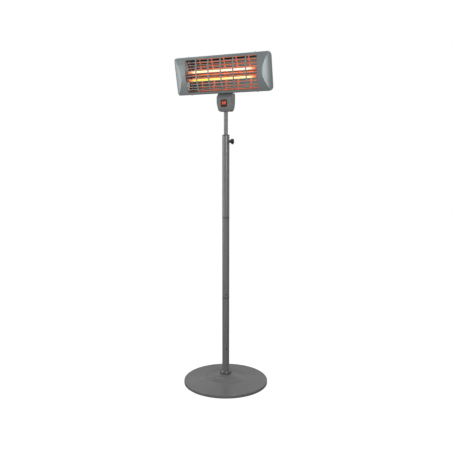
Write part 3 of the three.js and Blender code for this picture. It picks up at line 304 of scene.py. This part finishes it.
FLOAT, VECTOR = "NodeSocketFloat", "NodeSocketVector"


def grain_effect():
    """Powder coat, cast iron or moulded skin: a fine bump and a mask of its hollows."""
    tree, g, given, out = effect(
        "surface_grain",
        [("Scale", FLOAT, 900.0), ("Height", FLOAT, 0.1)],
        [("Normal", VECTOR), ("Mask", FLOAT)],
    )
    fine = g.noise(g.position(), given["Scale"], 2.0)
    tree.links.new(g.bump(fine, given["Height"], 0.0004), out["Normal"])
    tree.links.new(g.ramp(fine, 0.35, 0.65), out["Mask"])
    return tree


def wear_effect():
    """A mask of the sharp edges, broken up by noise."""
    tree, g, given, out = effect(
        "edge_wear",
        [("Radius", FLOAT, 0.0012), ("Breakup", FLOAT, 60.0)],
        [("Mask", FLOAT)],
    )
    bevelled = g.add("ShaderNodeBevel", {"Radius": given["Radius"]}, samples=4).outputs[0]
    normal = g.add("ShaderNodeNewGeometry").outputs["Normal"]
    aligned = g.add("ShaderNodeVectorMath", {0: bevelled, 1: normal}, operation="DOT_PRODUCT")
    edge = g.ramp(aligned.outputs["Value"], 0.995, 0.9)
    broken = g.ramp(g.noise(g.position(), given["Breakup"], 4.0), 0.35, 0.65)
    tree.links.new(g.math("MULTIPLY", edge, broken, clamp=True), out["Mask"])
    return tree


def dust_effect():
    """A mask of the faces that look up, thinned by patches."""
    tree, g, given, out = effect("settled_dust", [("Patches", FLOAT, 9.0)], [("Mask", FLOAT)])
    normal = g.add("ShaderNodeNewGeometry").outputs["Normal"]
    up = g.ramp(g.split(normal)["Z"], 0.5, 1.0)
    patches = g.ramp(g.noise(g.position(), given["Patches"], 5.0), 0.3, 0.8)
    tree.links.new(g.math("MULTIPLY", up, patches, clamp=True), out["Mask"])
    return tree


def brushed_effect():
    """Fine streaks along one direction, as a bump and a mask."""
    tree, g, given, out = effect(
        "brushed_streaks",
        [("Stretch", VECTOR, (4.0, 900.0, 900.0)), ("Height", FLOAT, 0.1)],
        [("Normal", VECTOR), ("Mask", FLOAT)],
    )
    factors = {0: g.position(), 1: given["Stretch"]}
    stretched = g.add("ShaderNodeVectorMath", factors, operation="MULTIPLY").outputs[0]
    streaks = g.noise(stretched, 1.0, 3.0)
    tree.links.new(g.bump(streaks, given["Height"], 0.0002), out["Normal"])
    tree.links.new(g.ramp(streaks, 0.3, 0.7), out["Mask"])
    return tree


GRAIN, WEAR, DUST, BRUSHED = grain_effect(), wear_effect(), dust_effect(), brushed_effect()


def shade(color, factor):
    """The colour lighter or darker, with full alpha."""
    return (*(min(1.0, c * factor) for c in color), 1.0)


def new_material(name):
    """A material, its graph and its Principled shader."""
    material = bpy.data.materials.new(name)
    material.use_nodes = True
    return material, Graph(material.node_tree), material.node_tree.nodes["Principled BSDF"]


def set_sockets(shader, **values):
    """Gives inputs of a shader fixed values."""
    for key, value in values.items():
        shader.inputs[key].default_value = value


# The colours of bare metal at worn edges and of dust.
WORN, DUSTY = (0.55, 0.56, 0.57, 1.0), (0.5, 0.48, 0.45, 1.0)


def coated(name, color, roughness, metallic=0.0, grain=900.0, height=0.1, wear=0.3, dust=0.15):
    """Paint, moulded plastic, cast iron or rubber: grain, soft patches, worn edges and settled dust."""
    material, g, shader = new_material(name)
    set_sockets(shader, Metallic=metallic)
    skin = g.add("ShaderNodeGroup", {"Scale": grain, "Height": height}, node_tree=GRAIN).outputs
    worn = g.add("ShaderNodeGroup", node_tree=WEAR).outputs["Mask"]
    dusty = g.add("ShaderNodeGroup", node_tree=DUST).outputs["Mask"]
    patches = g.noise(g.position(), 6.0, 3.0)
    base = g.mix(g.ramp(patches, 0.3, 0.7), shade(color, 0.95), shade(color, 1.05))
    base = g.mix(g.math("MULTIPLY", skin["Mask"], 0.2), base, shade(color, 1.15))
    base = g.mix(g.math("MULTIPLY", worn, wear), base, WORN)
    base = g.mix(g.math("MULTIPLY", dusty, dust), base, DUSTY)
    rough = g.ramp(patches, 0.3, 0.7, roughness - 0.04, roughness + 0.04)
    rough = g.math("ADD", rough, g.math("MULTIPLY", dusty, 0.2), clamp=True)
    g.tree.links.new(base, shader.inputs["Base Color"])
    g.tree.links.new(rough, shader.inputs["Roughness"])
    g.tree.links.new(skin["Normal"], shader.inputs["Normal"])
    return material


def brushed(name, color, roughness, stretch=(4.0, 900.0, 900.0), height=0.1):
    """Bright metal with fine streaks along it."""
    material, g, shader = new_material(name)
    set_sockets(shader, Metallic=1.0)
    inputs = {"Stretch": stretch, "Height": height}
    streaks = g.add("ShaderNodeGroup", inputs, node_tree=BRUSHED).outputs
    base = g.mix(streaks["Mask"], shade(color, 0.9), shade(color, 1.05))
    rough = g.ramp(streaks["Mask"], 0.0, 1.0, roughness * 0.8, roughness * 1.2)
    g.tree.links.new(base, shader.inputs["Base Color"])
    g.tree.links.new(rough, shader.inputs["Roughness"])
    g.tree.links.new(streaks["Normal"], shader.inputs["Normal"])
    return material


# The orange light of the tubes, its strength on what it lights and in mirror images of the tubes.
GLOW_COLOR, GLOW_ON_FACES, GLOW_IN_MIRRORS = (1.0, 0.13, 0.03, 1.0), 9.0, 0.9


def glowing(name, left, right, ends, level, low, high):
    """A lit heating part, pale to the eye and orange on what it lights.

    From low to high, measured from the middle along X, the colour of the ends takes over.
    """
    material, g, shader = new_material(name)
    across = g.split(g.position())["X"]
    wobble = g.noise(g.position(), 40.0, 2.0)
    tint = g.mix(g.ramp(across, -0.1, 0.1), (*left, 1.0), (*right, 1.0))
    tint = g.mix(g.ramp(wobble, 0.3, 0.7, 0.0, 0.12), tint, (*ends, 1.0))
    tint = g.mix(g.ramp(g.math("ABSOLUTE", across), low, high), tint, (*ends, 1.0))
    rays = g.add("ShaderNodeLightPath").outputs
    strength = g.ramp(rays["Is Glossy Ray"], 0.0, 1.0, GLOW_ON_FACES, GLOW_IN_MIRRORS)
    strength = g.mix(rays["Is Camera Ray"], strength, (level, level, level, 1.0))
    g.tree.links.new(tint, shader.inputs["Base Color"])
    glow = g.mix(rays["Is Camera Ray"], GLOW_COLOR, tint)
    g.tree.links.new(glow, shader.inputs["Emission Color"])
    g.tree.links.new(strength, shader.inputs["Emission Strength"])
    set_sockets(shader, Roughness=0.35)
    return material


def paint_tube_glow_on_backs(material):
    """Paints the orange light of the tubes as a glow on the faces that look back, weaker at the left.
    """
    g, shader = Graph(material.node_tree), material.node_tree.nodes["Principled BSDF"]
    normal = g.split(g.add("ShaderNodeNewGeometry").outputs["Normal"])
    facing_back = g.ramp(normal["Y"], 0.35, 0.9, 0.0, 0.75)
    less_at_left = g.ramp(g.split(g.position())["X"], -0.17, -0.1, 0.12, 1.0)
    level = g.math("MULTIPLY", facing_back, less_at_left)
    g.tree.links.new(level, shader.inputs["Emission Strength"])
    set_sockets(shader, **{"Emission Color": GLOW_COLOR})


def paint_rocker_glow(material):
    """A painted glow on each rocker, as from a lamp behind its upper half: it falls off to the edges
    and downwards.
    """
    g, shader = Graph(material.node_tree), material.node_tree.nodes["Principled BSDF"]
    at = g.split(g.position())
    glow_height = BOX_BOTTOM + SWITCH_HEIGHT + 2
    from_centre = g.math("ABSOLUTE", at["X"])
    from_middle = g.math("ABSOLUTE", g.math("SUBTRACT", from_centre, ROCKER_OFFSET * MM))
    from_glow_height = g.math("ABSOLUTE", g.math("SUBTRACT", at["Z"], glow_height * MM))
    across = g.ramp(from_middle, ROCKER_HALF_WIDTH * MM, 0.002)
    glow = g.math("MULTIPLY", across, g.ramp(from_glow_height, 0.0115, 0.002))
    g.tree.links.new(g.math("MULTIPLY", glow, 0.75), shader.inputs["Emission Strength"])
    set_sockets(shader, **{"Emission Color": (1.0, 0.13, 0.05, 1.0)})


STAND_GREY, HEAD_GREY = (0.19, 0.19, 0.192), (0.29, 0.322, 0.327)
HEAD_COAT = {"metallic": 0.45, "grain": 1400.0, "height": 0.06}
stand_paint = coated("stand_paint", STAND_GREY, 0.27, metallic=0.15, height=0.04, wear=0.15, dust=0.08)
frame_paint = coated("frame_paint", HEAD_GREY, 0.36, wear=0.25, dust=0.05, **HEAD_COAT)
guard_paint = coated("guard_paint", HEAD_GREY, 0.45, wear=0.1, dust=0.0, **HEAD_COAT)
# The guard's backs get a painted orange glow that stands in for the tubes' light.
paint_tube_glow_on_backs(guard_paint)
cast_iron = coated("cast_iron", (0.05, 0.05, 0.052), 0.75, metallic=0.3, grain=300.0, height=0.5)
black_plastic = coated("black_plastic", (0.022, 0.022, 0.024), 0.55, height=0.15, wear=0.08, dust=0.05)
collar_plastic = coated("collar_plastic", (0.1, 0.1, 0.102), 0.16, height=0.04, wear=0.15)
set_sockets(collar_plastic.node_tree.nodes["Principled BSDF"], **{"Specular IOR Level": 0.9})
rubber = coated("rubber", (0.02, 0.02, 0.02), 0.8, height=0.3, wear=0.1)
ceramic = coated("ceramic", (0.42, 0.32, 0.3), 0.6, grain=500.0, height=0.2, wear=0.0, dust=0.0)
red_plastic = coated("red_plastic", (0.2, 0.03, 0.02), 0.3, height=0.03, wear=0.0, dust=0.0)
# The rockers get a painted red glow, brightest just above the switch's middle.
paint_rocker_glow(red_plastic)
zinc = brushed("zinc_steel", (0.62, 0.63, 0.64), 0.35)
dark_steel = brushed("dark_steel", (0.07, 0.07, 0.072), 0.5)
ROLLED = {"stretch": (3.0, 400.0, 400.0), "height": 0.001}
polished = brushed("polished_reflector", (0.78, 0.82, 0.74), 0.07, **ROLLED)

# Each tube's colour at the left and at the right, and where it turns orange, from the middle in metres.
UPPER_LEFT, UPPER_RIGHT = (0.93, 0.85, 0.52), (1.0, 0.93, 0.77)
LOWER_LEFT, LOWER_RIGHT = (0.88, 0.78, 0.09), (1.0, 0.93, 0.45)
TUBE_ENDS, TUBE_TURNS = (0.72, 0.19, 0.02), (0.148, 0.172)
COIL_MIDDLE, COIL_ENDS, COIL_TURNS = (1.0, 0.5, 0.15), (1.0, 0.2, 0.03), (0.15, 0.19)
quartz_upper = glowing("milky_quartz_upper", UPPER_LEFT, UPPER_RIGHT, TUBE_ENDS, 0.78, *TUBE_TURNS)
quartz_lower = glowing("milky_quartz_lower", LOWER_LEFT, LOWER_RIGHT, TUBE_ENDS, 0.75, *TUBE_TURNS)
coil_metal = glowing("heating_wire", COIL_MIDDLE, COIL_MIDDLE, COIL_ENDS, 0.9, *COIL_TURNS)

FINISH_OF_SLOT = {
    "stand_paint": stand_paint,
    "frame_paint": frame_paint,
    "cast_iron": cast_iron,
    "rubber": rubber,
    "zinc_steel": zinc,
    "black_plastic": black_plastic,
    "collar_plastic": collar_plastic,
    "polished_reflector": polished,
    "milky_quartz": quartz_upper,
    "heating_wire": coil_metal,
    "ceramic": ceramic,
    "switch_red": red_plastic,
}


def finish_cad_nodes():
    """Gives each CAD node the finish of its slot; the pole screws and couplings are darker."""
    for part in frame["record"]["subparts"]:
        node = frame["nodes"][part["node"]]
        dark = part["node"].endswith(("pole_screw", "coupling"))
        finish = dark_steel if dark else FINISH_OF_SLOT[part["material_slot"]]
        for slot in node.material_slots:
            slot.link = "OBJECT"
            slot.material = finish


# ---------------------------------------------------------------- stand
def turned(name, outline, sides, body, material, node, angle=28):
    """A turned piece in place of one CAD node."""
    dress(soften(lathe(name, outline, sides), angle=angle), body, material, node)


def make_cover():
    """A pressed disc with two raised steps and a cone between them, open below."""
    sheet, rim, bore, low, top = 2, 226, POLE_RADIUS + CLEARANCE, 2.5, 51
    edge = arc((rim - 4, 14), 4, 0, math.pi / 2, 8)
    lower_step = [(113, 30), (111.5, 31.2), (110, 32.4), (108, 33)]
    upper_step = [(70, 42), (68.5, 43.2), (67, 44.4), (65, 45)]
    above = [*lower_step, *upper_step, (33, top)]
    below = [(r - sheet, z - sheet) for r, z in reversed(above)]
    outline = [(rim - sheet, low), (rim, low), *edge, *above, (bore, top), (bore, top - sheet), *below]
    outline += [(rim - 4, 16), (rim - sheet, 14)]
    turned("round_cover", outline, 180, "stand", stand_paint, "base_cover", angle=20)


def make_pole():
    """Three equal tube sections, one above the other."""
    edge = 0.5
    for index, level in enumerate(("lower", "middle", "upper")):
        low = POLE_BOTTOM + index * POLE_PITCH
        high = low + POLE_SECTION
        outline = [(POLE_BORE, low), (POLE_RADIUS - edge, low), (POLE_RADIUS, low + edge)]
        outline += [(POLE_RADIUS, high - edge), (POLE_RADIUS - edge, high), (POLE_BORE, high)]
        name, node = f"{level}_pole_tube", f"{level}_pole"
        turned(name, outline, 96, "stand", stand_paint, node, angle=30)


def make_collar():
    """The domed ring round the foot of the pole."""
    bottom, bore, radius, height, edge = 51.3, POLE_RADIUS + CLEARANCE, 31, 18, 0.6
    shoulder = height * 0.25
    quarter = arc((0, 0), 1, 0, math.pi / 2, 14)
    wide, high = radius - bore, height - shoulder
    dome = [(bore + wide * a, bottom + shoulder + high * b) for a, b in quarter]
    outline = [(bore, bottom), (radius - edge, bottom), (radius, bottom + edge), *dome]
    turned("dome_collar", outline, 96, "stand", collar_plastic, "pole_collar")


def make_bush():
    """The guide ring in the mouth of the pole; only its rounded lip shows."""
    bottom, lip = POLE_TOP - 58, POLE_TOP + BUSH_LIP
    bore, guide = MAST_RADIUS + CLEARANCE, POLE_BORE - CLEARANCE
    quarter = arc((0, 0), 1, 0, math.pi / 2, 8)
    outline = [(bore, bottom), (guide, bottom), (guide, lip), (18.6, lip), (POLE_RADIUS, lip + 0.4)]
    outline += [(16 + 3 * a, lip + BUSH_DOME * (0.4 + 0.6 * b)) for a, b in quarter]
    outline += [(bore + 0.5, lip + BUSH_DOME), (bore, lip + BUSH_DOME - 0.5)]
    turned("top_bush", outline, 96, "stand", black_plastic, "pole_top_bush")


def make_mast_tube():
    """The inner tube that slides in the pole."""
    low, high = POLE_TOP - 290, BOX_BOTTOM + 18.5
    outline = [(MAST_BORE, low), (MAST_RADIUS, low), (MAST_RADIUS, high), (MAST_BORE, high)]
    turned("sliding_tube", outline, 64, "mast", stand_paint, "inner_tube")


def make_knob():
    """A five-lobed knob: rings along its length, each a rounded star."""
    start, axis_height = 24.5, POLE_TOP - 30.5
    # Distance along the knob, mean radius and depth of the lobes.
    neck = [(0, 7.5, 0), (0.3, 7.9, 0), (3.6, 8.5, 0)]
    flare = [(5.6, 10.2, 0.35), (7.2, 12.3, 0.9), (8.5, 13.2, 1.6), (9.9, 13.6, 1.9)]
    grip = [(15.3, 13.5, 1.9), (16.6, 13.0, 1.8), (17.5, 12.0, 1.6), (18, 10.6, 1.3)]
    dimple = [(18, 6, 0.6), (17.4, 5, 0)]
    rings = [*neck, *flare, *grip, *dimple]
    sides = 80
    points = []
    for along, middle, swing in rings:
        for i in range(sides):
            angle = 2 * math.pi * i / sides
            radius = middle + swing * math.cos(5 * angle)
            y, z = radius * math.sin(angle), axis_height - radius * math.cos(angle)
            points.append((start + along, y, z))
    faces = []
    for k in range(len(rings) - 1):
        for i in range(sides):
            j = (i + 1) % sides
            faces.append((k * sides + i, k * sides + j, (k + 1) * sides + j, (k + 1) * sides + i))
    faces += [tuple(range(sides))[::-1], tuple(range(len(points) - sides, len(points)))]
    knob = mesh_object("star_knob", points, faces)
    tidy(knob)
    dress(soften(knob, angle=40), "clamp_knob_body", black_plastic, "clamp_knob")


# ---------------------------------------------------------------- control box
BOX_HALF_WIDTH, BOX_HALF_DEPTH, BOX_HEIGHT, BOX_WALL = 42, 30, 92.5, 2.2

# The box's front leans forwards from its lower to its upper point, (y, z); the switch sits on it.
FACE_LOW, FACE_HIGH = (-25, 11), (-30, 67.5)
FACE_SLOPE = (FACE_LOW[0] - FACE_HIGH[0]) / (FACE_HIGH[1] - FACE_LOW[1])
FACE_LEAN = math.atan(FACE_SLOPE)
SWITCH_DEPTH = FACE_LOW[0] - (SWITCH_HEIGHT - FACE_LOW[1]) * FACE_SLOPE
SWITCH_AT = Vector((0, SWITCH_DEPTH, BOX_BOTTOM + SWITCH_HEIGHT))
SWITCH_PLACE = Matrix.Translation(SWITCH_AT * MM) @ Matrix.Rotation(FACE_LEAN, 4, "X")


def box_body(name, inset):
    """The box as three outlines cut together: from the front, from the side and from above."""
    wide, deep, high = BOX_HALF_WIDTH, BOX_HALF_DEPTH, BOX_HEIGHT
    chin = curve((28, 0), (33, 0), (34, 11), 10)
    cheek = curve((34, 11), (41, 33.75), (wide, 67.5), 12)
    right = [*chin, *cheek[1:], (40, high)]
    rear_edge = curve((deep, high - 7), (deep, high), (deep - 7, high), 8)
    side = [(-18, 0), (18, 0), (deep, 11), *rear_edge, (-7, high), FACE_HIGH, FACE_LOW]
    body = prism(name, drawn_in(mirrored(right), inset), "Y", -31, 31)
    depth = prism("depth", drawn_in(side, inset), "X", -44, 44)
    corners = rounded(wide - inset, deep - inset, 7 - inset, 10)
    plan = prism("plan", corners, "Z", -1, 95)
    return combine(body, [depth, plan], "INTERSECT")


# Two screw holes and the hole of the lead: x, z and radius.
REAR_HOLES = ((-22, 72, 2.1), (22, 72, 2.1), (0, 22, 6.3))


def box_cutters(name):
    """What is cut out of a shell: the switch opening in front, the round holes behind."""
    if name == "front":
        opening = prism("opening", rounded(13.8, 15.8, 1, 3), "Y", -4, 6)
        return [place(opening, Matrix.Translation((0, 0, -BOX_BOTTOM * MM)) @ SWITCH_PLACE)]
    circles = [arc((x, z), radius, 0, 2 * math.pi, 24) for x, z, radius in REAR_HOLES]
    return [prism("hole", circle[:-1], "Y", 20, 40) for circle in circles]


def make_box():
    """The front and the rear shell, each cut from the same hollow body."""
    lift = Matrix.Translation((0, 0, BOX_BOTTOM * MM))
    mast_bore = MAST_RADIUS + CLEARANCE
    for name, front, back in (("front", -60, 5), ("rear", 5.3, 60)):
        shell = box_body(f"box_{name}_case", 0)
        hollow = box_body("hollow", BOX_WALL)
        mast_hole = lathe("mast_hole", [(0, -2), (mast_bore, -2), (mast_bore, 5), (0, 5)], 48)
        combine(shell, [hollow, mast_hole], "DIFFERENCE")
        slab = prism("slab", [(front, -50), (back, -50), (back, 150), (front, 150)], "X", -60, 60)
        combine(shell, [slab], "INTERSECT")
        combine(shell, box_cutters(name), "DIFFERENCE")
        soften(shell, radius=1.1, angle=22)
        place(shell, lift)
        dress(shell, "mast", stand_paint, f"box_{name}_shell")


def make_bezel():
    """The switch's surround, with a neck that goes through the front of the box."""
    bezel = prism("switch_surround", rounded(16, 18.5, 2.5, 6), "Y", -2.3, -0.3)
    neck = prism("neck", rounded(13.5, 15.5, 0.7, 3), "Y", -1, 13)
    window = prism("window", rounded(11.3, 12.5, 0.3, 2), "Y", -6, 20)
    combine(bezel, [neck], "UNION")
    combine(bezel, [window], "DIFFERENCE")
    soften(bezel, radius=0.6)
    place(bezel, SWITCH_PLACE)
    dress(bezel, "mast", black_plastic, "switch_bezel")


def make_rockers():
    """Two rounded blocks with a dished front, both tipped with the upper half in."""
    radius, front, back, axis_depth, tipped = 12.1, 6.8, 4.5, 4.4, math.radians(-8)
    upper = arc((0, 0), radius, math.acos(back / radius), math.pi - math.acos(front / radius), 10)
    lower = [(y, -z) for y, z in reversed(upper)]
    dish = curve((-front, upper[-1][1]), (-3.2, 0), (-front, lower[0][1]), 12)[1:-1]
    outline = [*upper, *dish, *lower]
    for side, name in ((-1, "left"), (1, "right")):
        rocker = prism(f"rocker_cap_{name}", outline, "X", -ROCKER_HALF_WIDTH, ROCKER_HALF_WIDTH)
        soften(rocker, radius=0.5)
        axis = Matrix.Translation((side * ROCKER_OFFSET * MM, axis_depth * MM, 0))
        place(rocker, SWITCH_PLACE @ axis @ Matrix.Rotation(tipped, 4, "X"))
        dress(rocker, f"rocker_{name}_body", red_plastic, f"rocker_{name}")


# ---------------------------------------------------------------- heater head
HEAD_TILT = math.radians(14.1)
HEAD_PLACE = Matrix.Translation((0, -0.077, 1.629)) @ Matrix.Rotation(HEAD_TILT, 4, "X")
HALF_WIDTH, HALF_HEIGHT, FACE_RADIUS, FRAME_DEPTH = 261.5, 94.5, 215, 38
TUBE_DEPTH, TUBE_HEIGHT = 24, 20.25


def frame_body(name, back, inset):
    """The frame's outside: a barrel face from the side, crescent ends from above, round corners."""
    reach = math.asin(89 / FACE_RADIUS)
    face = arc((FACE_RADIUS, 0), FACE_RADIUS, math.pi - reach, math.pi + reach, 64)
    shoulder, face_edge = 28, face[0][0]
    bend = face_edge + (shoulder - face_edge) / 3
    upper = curve((shoulder, HALF_HEIGHT), (bend, HALF_HEIGHT), face[0], 10)[:-1]
    lower = [(y, -z) for y, z in reversed(upper)]
    side = [(back, -HALF_HEIGHT), (back, HALF_HEIGHT), *upper, *face, *lower]
    crease, bulge, end = (218.5, 0), (249.5, 14), (HALF_WIDTH, 30)
    ahead = 3
    lead = ahead * (bulge[0] - crease[0]) / (bulge[1] - crease[1])
    right = [(crease[0] - lead, -ahead), *curve(crease, bulge, end, 28), (HALF_WIDTH, back)]
    body = prism(name, drawn_in(side, inset), "X", -HALF_WIDTH - 1, HALF_WIDTH + 1)
    plan = prism("plan", drawn_in(mirrored(right), inset), "Z", -97, 97)
    corners = rounded(HALF_WIDTH - inset, HALF_HEIGHT - inset, 20 - inset, 16)
    front = prism("front", corners, "Y", -10, 60)
    return combine(body, [plan, front], "INTERSECT")


def make_front_frame():
    """A shell of even wall with one wide opening."""
    shell = frame_body("barrel_frame", FRAME_DEPTH, 0)
    hollow = frame_body("hollow", FRAME_DEPTH + 5, 2.5)
    opening = prism("opening", rounded(194, 81, 8, 10), "Y", -5, 60)
    combine(shell, [hollow, opening], "DIFFERENCE")
    soften(shell, radius=1.2, angle=14)
    place(shell, HEAD_PLACE)
    dress(shell, "head", frame_paint, "front_frame")


def make_guard():
    """Flat upright bars that follow the frame's curve, and straight rods behind them."""
    front, back, reach = 2.8, 5.0, math.asin(87 / FACE_RADIUS)
    bar_pitch, last_bar, half_bar = 67.2, 198, 3.5
    rod_pitch, last_rod, half_rod, rod, sunk = 13.5, 84, 203.5, 2, 0.3
    outer = arc((FACE_RADIUS, 0), FACE_RADIUS - front, math.pi - reach, math.pi + reach, 40)
    inner = arc((FACE_RADIUS, 0), FACE_RADIUS - back, math.pi + reach, math.pi - reach, 40)
    bars = []
    for x in [-last_bar, *[bar_pitch * i for i in range(-2, 3)], last_bar]:
        bars.append(prism("bar", [*outer, *inner], "X", x - half_bar, x + half_bar))
    row = FACE_RADIUS - back - rod + sunk
    for z in [-last_rod, *[rod_pitch * i for i in range(-5, 6)], last_rod]:
        y = FACE_RADIUS - math.sqrt(row**2 - z**2)
        circle = arc((y, z), rod, 0, 2 * math.pi, 20)[:-1]
        bars.append(prism("rod", circle, "X", -half_rod, half_rod))
    guard = soften(merge("curved_guard", bars), radius=0.35, angle=40, segments=2)
    place(guard, HEAD_PLACE)
    dress(guard, "head", guard_paint, "guard_grille")


def reflector_back(z):
    """The sheet's depth at a height: a ridge between the tubes, and edges that come forward."""
    return 42 - 8 * math.exp(-((z / 8) ** 2)) - 9 * (z / 86) ** 4


def make_reflector():
    """A bent sheet behind the tubes, with a flat strip along both long edges."""
    heights = [-86 + 172 * i / 120 for i in range(121)]
    line = [(reflector_back(z), z) for z in heights]
    edge = line[0][0]
    front = [(edge, -89.9), *line, (edge, 89.9)]
    back = [(y + 1, z) for y, z in reversed(front)]
    sheet = prism("reflector_sheet", [*front, *back], "X", -212, 212)
    place(soften(sheet, angle=40), HEAD_PLACE)
    dress(sheet, "head", polished, "reflector")


def along_x(name, profile, sides, z, side=1):
    """A turned piece laid along X at the depth of the tubes, its top towards the given side."""
    piece = lathe(name, profile, sides)
    turn = Matrix.Rotation(side * math.pi / 2, 4, "Y")
    return place(piece, HEAD_PLACE @ Matrix.Translation(Vector((0, TUBE_DEPTH, z)) * MM) @ turn)


def make_tubes():
    """Two lit quartz tubes with a waisted ceramic cap on each end."""
    tube_profile = [(4.8, -188), (6, -188), (6, 188), (4.8, 188)]
    cap_profile = [(0.01, 196.3), (3.3, 196.3), (3.3, 188.3), (6.3, 188.3), (6.3, 180), (7.6, 180)]
    cap_profile += [(8, 180.4), (8, 190), (7.4, 190.6), (7.4, 193), (8, 193.6), (8, 211.4), (7.4, 212)]
    cap_profile += [(0.01, 212)]
    for level, sign, quartz in (("upper", 1, quartz_upper), ("lower", -1, quartz_lower)):
        z = sign * TUBE_HEIGHT
        tube = soften(along_x(f"glowing_tube_{level}", tube_profile, 48, z))
        dress(tube, "head", quartz, f"quartz_tube_{level}")
        for side, name in ((-1, "left"), (1, "right")):
            cap = soften(along_x(f"ceramic_{level}_{name}", cap_profile, 40, z, side))
            dress(cap, "head", ceramic, f"{level}_cap_{name}")


def housing_body(name, front, inset):
    """The rear housing's outside, with sloped sides."""
    wide, high, corner = 258.7, 91.7, 17.5
    upper = [(94, 50), (74, 60), (FRAME_DEPTH, high), (front, high)]
    side = [*[(y, -z) for y, z in reversed(upper)], *upper]
    right = [(wide, front), (wide, FRAME_DEPTH), (226, 74), (205, 94)]
    shell = prism(name, drawn_in(side, inset), "X", -262, 262)
    plan = prism("plan", drawn_in(mirrored(right), inset), "Z", -97, 97)
    corners = rounded(wide - inset, high - inset, corner - inset, 12)
    face = prism("face", corners, "Y", -10, 120)
    return combine(shell, [plan, face], "INTERSECT")


def make_housing():
    """A hollow shell with two rows of nine vents in its back."""
    shell = housing_body("rear_case", 31, 0)
    hollow = housing_body("hollow", 28, 1.5)
    slot, pitch, row = rounded(14, 2.5, 2.45, 6), 40, 30
    vents = []
    for x in [pitch * i for i in range(-4, 5)]:
        for z in (-row, row):
            outline = [(x + a, z + b) for a, b in slot]
            vents.append(prism("vent", outline, "Y", 85, 100))
    combine(shell, [hollow], "DIFFERENCE")
    combine(shell, [merge("vents", vents)], "DIFFERENCE")
    soften(shell, radius=1.5, angle=20)
    place(shell, HEAD_PLACE)
    dress(shell, "head", stand_paint, "rear_housing")


# ---------------------------------------------------------------- surroundings
FLOOR_SEEN = 0.95

# Two panels that only shiny faces see: bearing from the front and width in radians, level.
LEFT_PANEL, RIGHT_PANEL = (-1.4, 0.35, 2.0), (0.62, 0.3, 0.4)


def add_floor():
    """A floor that looks white to the camera and throws little light back."""
    near, far, half_width = -1300, 9000, 9000
    corners = [(-half_width, near, 0), (half_width, near, 0)]
    corners += [(half_width, far, 0), (-half_width, far, 0)]
    floor = mesh_object("floor", corners, [(0, 1, 2, 3)])
    material, g, shader = new_material("pale_floor")
    set_sockets(shader, Roughness=0.9)
    set_sockets(shader, **{"Base Color": (0.2, 0.2, 0.2, 1.0), "Emission Color": (1, 1, 1, 1)})
    rays = g.add("ShaderNodeLightPath").outputs
    seen = g.ramp(rays["Is Camera Ray"], 0.0, 1.0, 0.0, FLOOR_SEEN)
    g.tree.links.new(seen, shader.inputs["Emission Strength"])
    floor.data.materials.append(material)


def add_world():
    """White to the camera, soft light on matt faces, a dim studio with two panels in shiny ones."""
    world = bpy.data.worlds.new("studio")
    bpy.context.scene.world = world
    world.use_nodes = True
    g = Graph(world.node_tree)
    background = world.node_tree.nodes["Background"]
    rays = g.add("ShaderNodeLightPath").outputs
    towards = g.split(g.add("ShaderNodeTexCoord").outputs["Generated"])
    bearing = g.math("ARCTAN2", towards["X"], g.math("MULTIPLY", towards["Y"], -1.0))

    def panel(middle, width, level):
        across = g.math("DIVIDE", g.math("SUBTRACT", bearing, middle), width)
        falling = g.math("EXPONENT", g.math("MULTIPLY", g.math("MULTIPLY", across, across), -1.0))
        return g.math("MULTIPLY", falling, level)

    panels = g.math("ADD", panel(*LEFT_PANEL), panel(*RIGHT_PANEL))
    dark_left = g.ramp(bearing, -0.45, -0.3, 0.01, 0.24)
    # A band on the rear wall, brightest 25 to 29 degrees above the horizon.
    rear = g.ramp(towards["Y"], 0.2, 0.8)
    rear = g.math("MULTIPLY", rear, g.ramp(towards["Z"], 0.48, 0.68, 1.0, 0.1))
    rear = g.math("MULTIPLY", rear, g.ramp(towards["Z"], 0.3, 0.42, 0.3, 1.0))
    in_mirrors = g.math("ADD", g.math("ADD", panels, dark_left), rear)
    on_matt = g.ramp(towards["Y"], -1.0, 0.6, 0.74, 0.43)
    level = g.mix(rays["Is Glossy Ray"], on_matt, in_mirrors)
    level = g.mix(rays["Is Camera Ray"], level, (1.0, 1.0, 1.0, 1.0))
    g.tree.links.new(level, background.inputs["Color"])


def add_softbox(name, where, aim, size, power, in_mirrors=True):
    """A rectangular lamp that the camera doesn't see."""
    data = bpy.data.lights.new(name, "AREA")
    data.shape = "RECTANGLE"
    data.size, data.size_y = size
    data.energy = power
    lamp = bpy.data.objects.new(name, data)
    lamp.location = where
    lamp.visible_camera = False
    lamp.visible_glossy = in_mirrors
    lamp.rotation_euler = (Vector(aim) - Vector(where)).to_track_quat("-Z", "Y").to_euler()
    bpy.context.scene.collection.objects.link(lamp)


def add_lamps():
    """Two softboxes in front, and a small lamp by the head's left end that shiny faces don't show."""
    add_softbox("left_softbox", (-2.0, -2.25, 1.3), (0, 0, 0.9), (0.3, 2.0), 14.5)
    add_softbox("right_softbox", (1.5, -1.6, 1.45), (0, 0, 1.2), (0.5, 0.7), 9)
    where, aim, size = (-0.65, -0.45, 1.68), (-0.15, -0.05, 1.6), (0.25, 0.3)
    add_softbox("head_side_lamp", where, aim, size, 1.6, in_mirrors=False)


# ---------------------------------------------------------------- the scene
add_camera()
finish_cad_nodes()
make_cover()
make_pole()
make_collar()
make_bush()
make_mast_tube()
make_knob()
make_box()
make_bezel()
make_rockers()
make_front_frame()
make_guard()
make_reflector()
make_tubes()
make_housing()
add_floor()
add_world()
add_lamps()
bpy.context.scene.view_settings.view_transform = "Standard"
